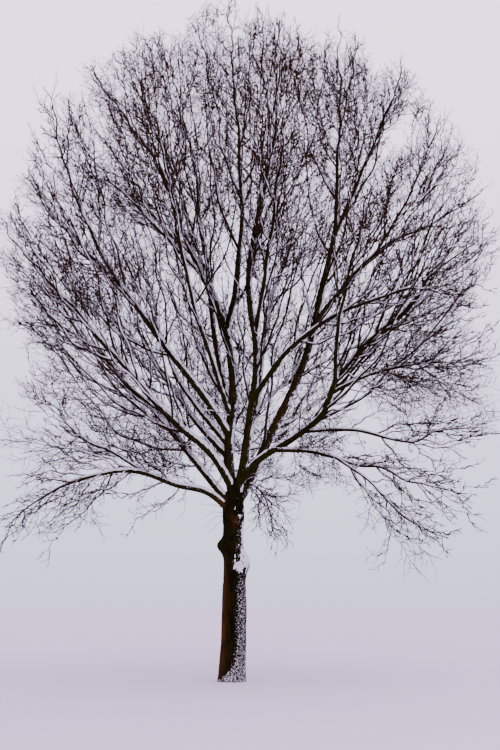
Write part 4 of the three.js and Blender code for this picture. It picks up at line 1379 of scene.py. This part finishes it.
def snow_strips(centres, ahead, radius, seed, columns, deepest, share, power, sunk):
    """Rings of strips of snow along paths: an arc of points round the side that catches most snow, raised
    by a power of the depth times the deepest, or by a share of the radius if that is less, or else sunk
    under the bark, and two points inside the wood."""
    crown, flank = square_to(ahead, np.broadcast_to(CATCH, ahead.shape))
    bearing = np.linspace(-WINDOW, WINDOW, columns)
    normal = crown[..., None, :] * np.cos(bearing)[:, None] + flank[..., None, :] * np.sin(bearing)[:, None]
    surface = centres[..., None, :] + normal * radius[..., None, None]
    depth = snow_depth(normal, surface, seed)
    most = np.minimum(deepest, radius * share)[..., None]
    under = np.maximum(depth, -1) * sunk[0] - sunk[1] * radius[..., None]
    depth = np.where(depth > 0, np.clip(depth, 0, 1) ** power * most, under)
    depth[..., [0, -1]] = -EDGE_SUNK * radius[..., None]
    outer = surface + normal * depth[..., None]
    inside = [centres + (-BELOW * crown + k * ASIDE * flank) * radius[..., None] for k in (1, -1)]
    return np.concatenate([outer, np.stack(inside, axis=-2)], axis=-2).reshape(-1, 3)


print("most snow is caught towards", CATCH.round(2).tolist())

# %% Snow on the limbs
LIMB_SNOW = dict(columns=9, deepest=0.045, share=0.8, power=0.6, sunk=(0.02, 0.12))
LIMB_SNOW_SPACING = 0.05
LIMB_SNOW_END = 0.93


def limb_snow(limb):
    """Snow along one limb, up to where it is too thin to hold any."""
    shares = np.linspace(0.0, LIMB_SNOW_END, int(limb["length"] / LIMB_SNOW_SPACING))
    centres, ahead, _, _ = limb_frame(limb, shares)
    points = snow_strips(centres, ahead, limb_radius(limb, shares), 200 + 3 * limb["index"], **LIMB_SNOW)
    return points, tube_faces(1, len(shares), LIMB_SNOW["columns"] + 2, 0)


bough_snow = piece("bough_snow", *joined([limb_snow(limb) for limb in LIMBS]), [snow_white], "snow")
print("snow on the limbs:", len(bough_snow.data.polygons), "faces")

# %% [markdown]
# The trunk is too steep for snow to lie, so all of its snow is blown on. The specks are in the bark's
# colour. Over the big knot and up the right-hand edge the snow is packed into solid patches, and these are
# a skin.

# %% Snow on the trunk
TRUNK_SNOW_COLUMNS = 110
TRUNK_SNOW_SHARES = np.linspace(0.004, 0.97, 400)
TRUNK_SNOW_HALF = 125
TRUNK_SNOW_COST = 0.72
TRUNK_SNOW_DEPTH = 0.03
TRUNK_SNOW_UNDER = 0.004
TRUNK_SNOW_LIMITS = (-0.7, 0.9)
EDGE_UNDER = 0.05
PATCH_BREAKS = 0.4
PATCH_GRAIN = (np.array((14, 14, 9)), 36)
# Each patch: its bearing in degrees, height, width in degrees, how tall it is, and its strength.
PATCHES = (
    (-58, 2.52, 36, 0.2, 1.15), (-28, 2.8, 30, 0.36, 1.35), (-5, 2.45, 14, 0.22, 1.2),
    (-22, 3.3, 24, 0.5, 1.2), (-14, 3.85, 20, 0.35, 0.95), (-50, 3.72, 22, 0.07, 0.95),
    (-62, 3.02, 20, 0.06, 0.95),
)


def trunk_snow():
    """A skin over the windward side of the trunk: a bell over the bark for each patch, broken by noise, and
    inside the wood elsewhere."""
    shares, columns = TRUNK_SNOW_SHARES, TRUNK_SNOW_COLUMNS
    bearing = np.radians(np.linspace(-TRUNK_SNOW_HALF, TRUNK_SNOW_HALF, columns))[None]
    up = trunk_place(shares)[:, 2][:, None]
    amount = np.zeros((len(shares), columns))
    for facing, height, wide, tall, strength in PATCHES:
        turned = (np.degrees(bearing) - facing) / wide
        amount = np.maximum(amount, strength * np.exp(-(turned**2) - ((up - height) / tall) ** 2))
    smooth = trunk_radius(shares, bearing)
    surface = round_trunk(shares, smooth, bearing)
    grain = sum(PATCH_BREAKS * noise(surface * scale, 71 + n) for n, scale in enumerate(PATCH_GRAIN))
    depth = np.clip(amount + grain - TRUNK_SNOW_COST, *TRUNK_SNOW_LIMITS)
    radius = smooth + depth * TRUNK_SNOW_DEPTH - TRUNK_SNOW_UNDER + trunk_lumps(surface)
    radius[:, [0, -1]] = smooth[:, [0, -1]] - EDGE_UNDER
    radius[[0, -1], :] = smooth[[0, -1], :] - EDGE_UNDER
    outer = round_trunk(shares, radius, bearing)
    inside = round_trunk(shares, smooth[:, [0, -1]] * 0.5, bearing[:, [0, -1]])[:, ::-1]
    points = np.concatenate([outer, inside], axis=1).reshape(-1, 3)
    return points, tube_faces(1, len(shares), columns + 2, 0)


trunk_snow_piece = piece("trunk_snow", *trunk_snow(), [snow_white], "snow")
print("snow on the trunk:", len(trunk_snow_piece.data.polygons), "faces")

# %% [markdown]
# The thicker branches carry a thin ridge of snow. It is made as the snow on the limbs is, with fewer points.

# %% Snow on the branches
BRANCH_SNOW = dict(columns=5, deepest=0.018, share=1.1, power=0.5, sunk=(0, 0.5))
BRANCH_SNOW_RADIUS = 0.012
BRANCH_SNOW_SHARES = np.linspace(0.03, 0.8, 9)


def branch_snow(twigs):
    """A low ridge of snow along each branch that is thick enough, with noise that lets it come and go."""
    thick = taken(twigs, twigs["radius"] > BRANCH_SNOW_RADIUS)
    count = len(thick["limb"])
    centres = along(thick, np.tile(BRANCH_SNOW_SHARES, (count, 1)))
    radius = thick["radius"][:, None] * (1 - (1 - TIP_SHARE) * BRANCH_SNOW_SHARES)
    points = snow_strips(centres, headings(centres), radius, 300, **BRANCH_SNOW)
    return points, tube_faces(count, len(BRANCH_SNOW_SHARES), BRANCH_SNOW["columns"] + 2, 0)


snowed = together(forks, branches, dead)
ridges = piece("branch_snow", *branch_snow(snowed), [snow_white], "snow")
print("snow on the branches:", len(ridges.data.polygons), "faces")

# %% [markdown]
# ## Floor and light
# A plain pale floor and an even, cloudy light: a bright sky all round, and one wide soft lamp high on the
# right that gives the limbs a lit side.

# %% Stage
FLOOR_RADIUS = 900
FLOOR_SIDES = 96
FLOOR_UNDER = 0.002
FLOOR_GREY = (0.57, 0.51, 0.62)
SKY_LOW = (0.55, 0.55, 0.74)
SKY_HIGH = (1.15, 0.98, 1.3)
SKY_TURN = 0.55
SKY_STRENGTH = 2.15
LAMP_PLACE = (14, -10, 26)
LAMP_AIM = (0, 0, 8.0)
LAMP_SIZE = 14
LAMP_POWER = 5000

turns = np.linspace(0, 2 * np.pi, FLOOR_SIDES, endpoint=False)
floor_points = np.stack([np.cos(turns), np.sin(turns), 0 * turns], axis=1) * FLOOR_RADIUS
floor_mesh = bpy.data.meshes.new("floor")
floor_mesh.from_pydata((floor_points - (0, 0, FLOOR_UNDER)).tolist(), [], [list(range(FLOOR_SIDES))])
floor_mesh.materials.append(principled("floor", FLOOR_GREY, roughness=0.9)[0])
linked("floor", floor_mesh)

world = bpy.data.worlds.new("sky")
world.use_nodes = True
sky_tree = world.node_tree
direction = sky_tree.nodes.new("ShaderNodeTexCoord")
height = sky_tree.nodes.new("ShaderNodeSeparateXYZ")
sky_tree.links.new(direction.outputs["Generated"], height.inputs["Vector"])
backdrop = sky_tree.nodes["Background"]
sky_colour = ramp(sky_tree, height.outputs["Z"], [(0, SKY_LOW), (SKY_TURN, SKY_HIGH)])
sky_tree.links.new(sky_colour, backdrop.inputs["Color"])
backdrop.inputs["Strength"].default_value = SKY_STRENGTH
bpy.context.scene.world = world

lamp_data = bpy.data.lights.new("lamp", "AREA")
lamp_data.energy = LAMP_POWER
lamp_data.size = LAMP_SIZE
lamp = linked("lamp", lamp_data)
lamp.location = LAMP_PLACE
east, north, rise = np.array(LAMP_AIM) - np.array(LAMP_PLACE)
lamp.rotation_euler = (math.atan2(math.hypot(east, north), -rise), 0, math.atan2(east, -north))
print("stage set")
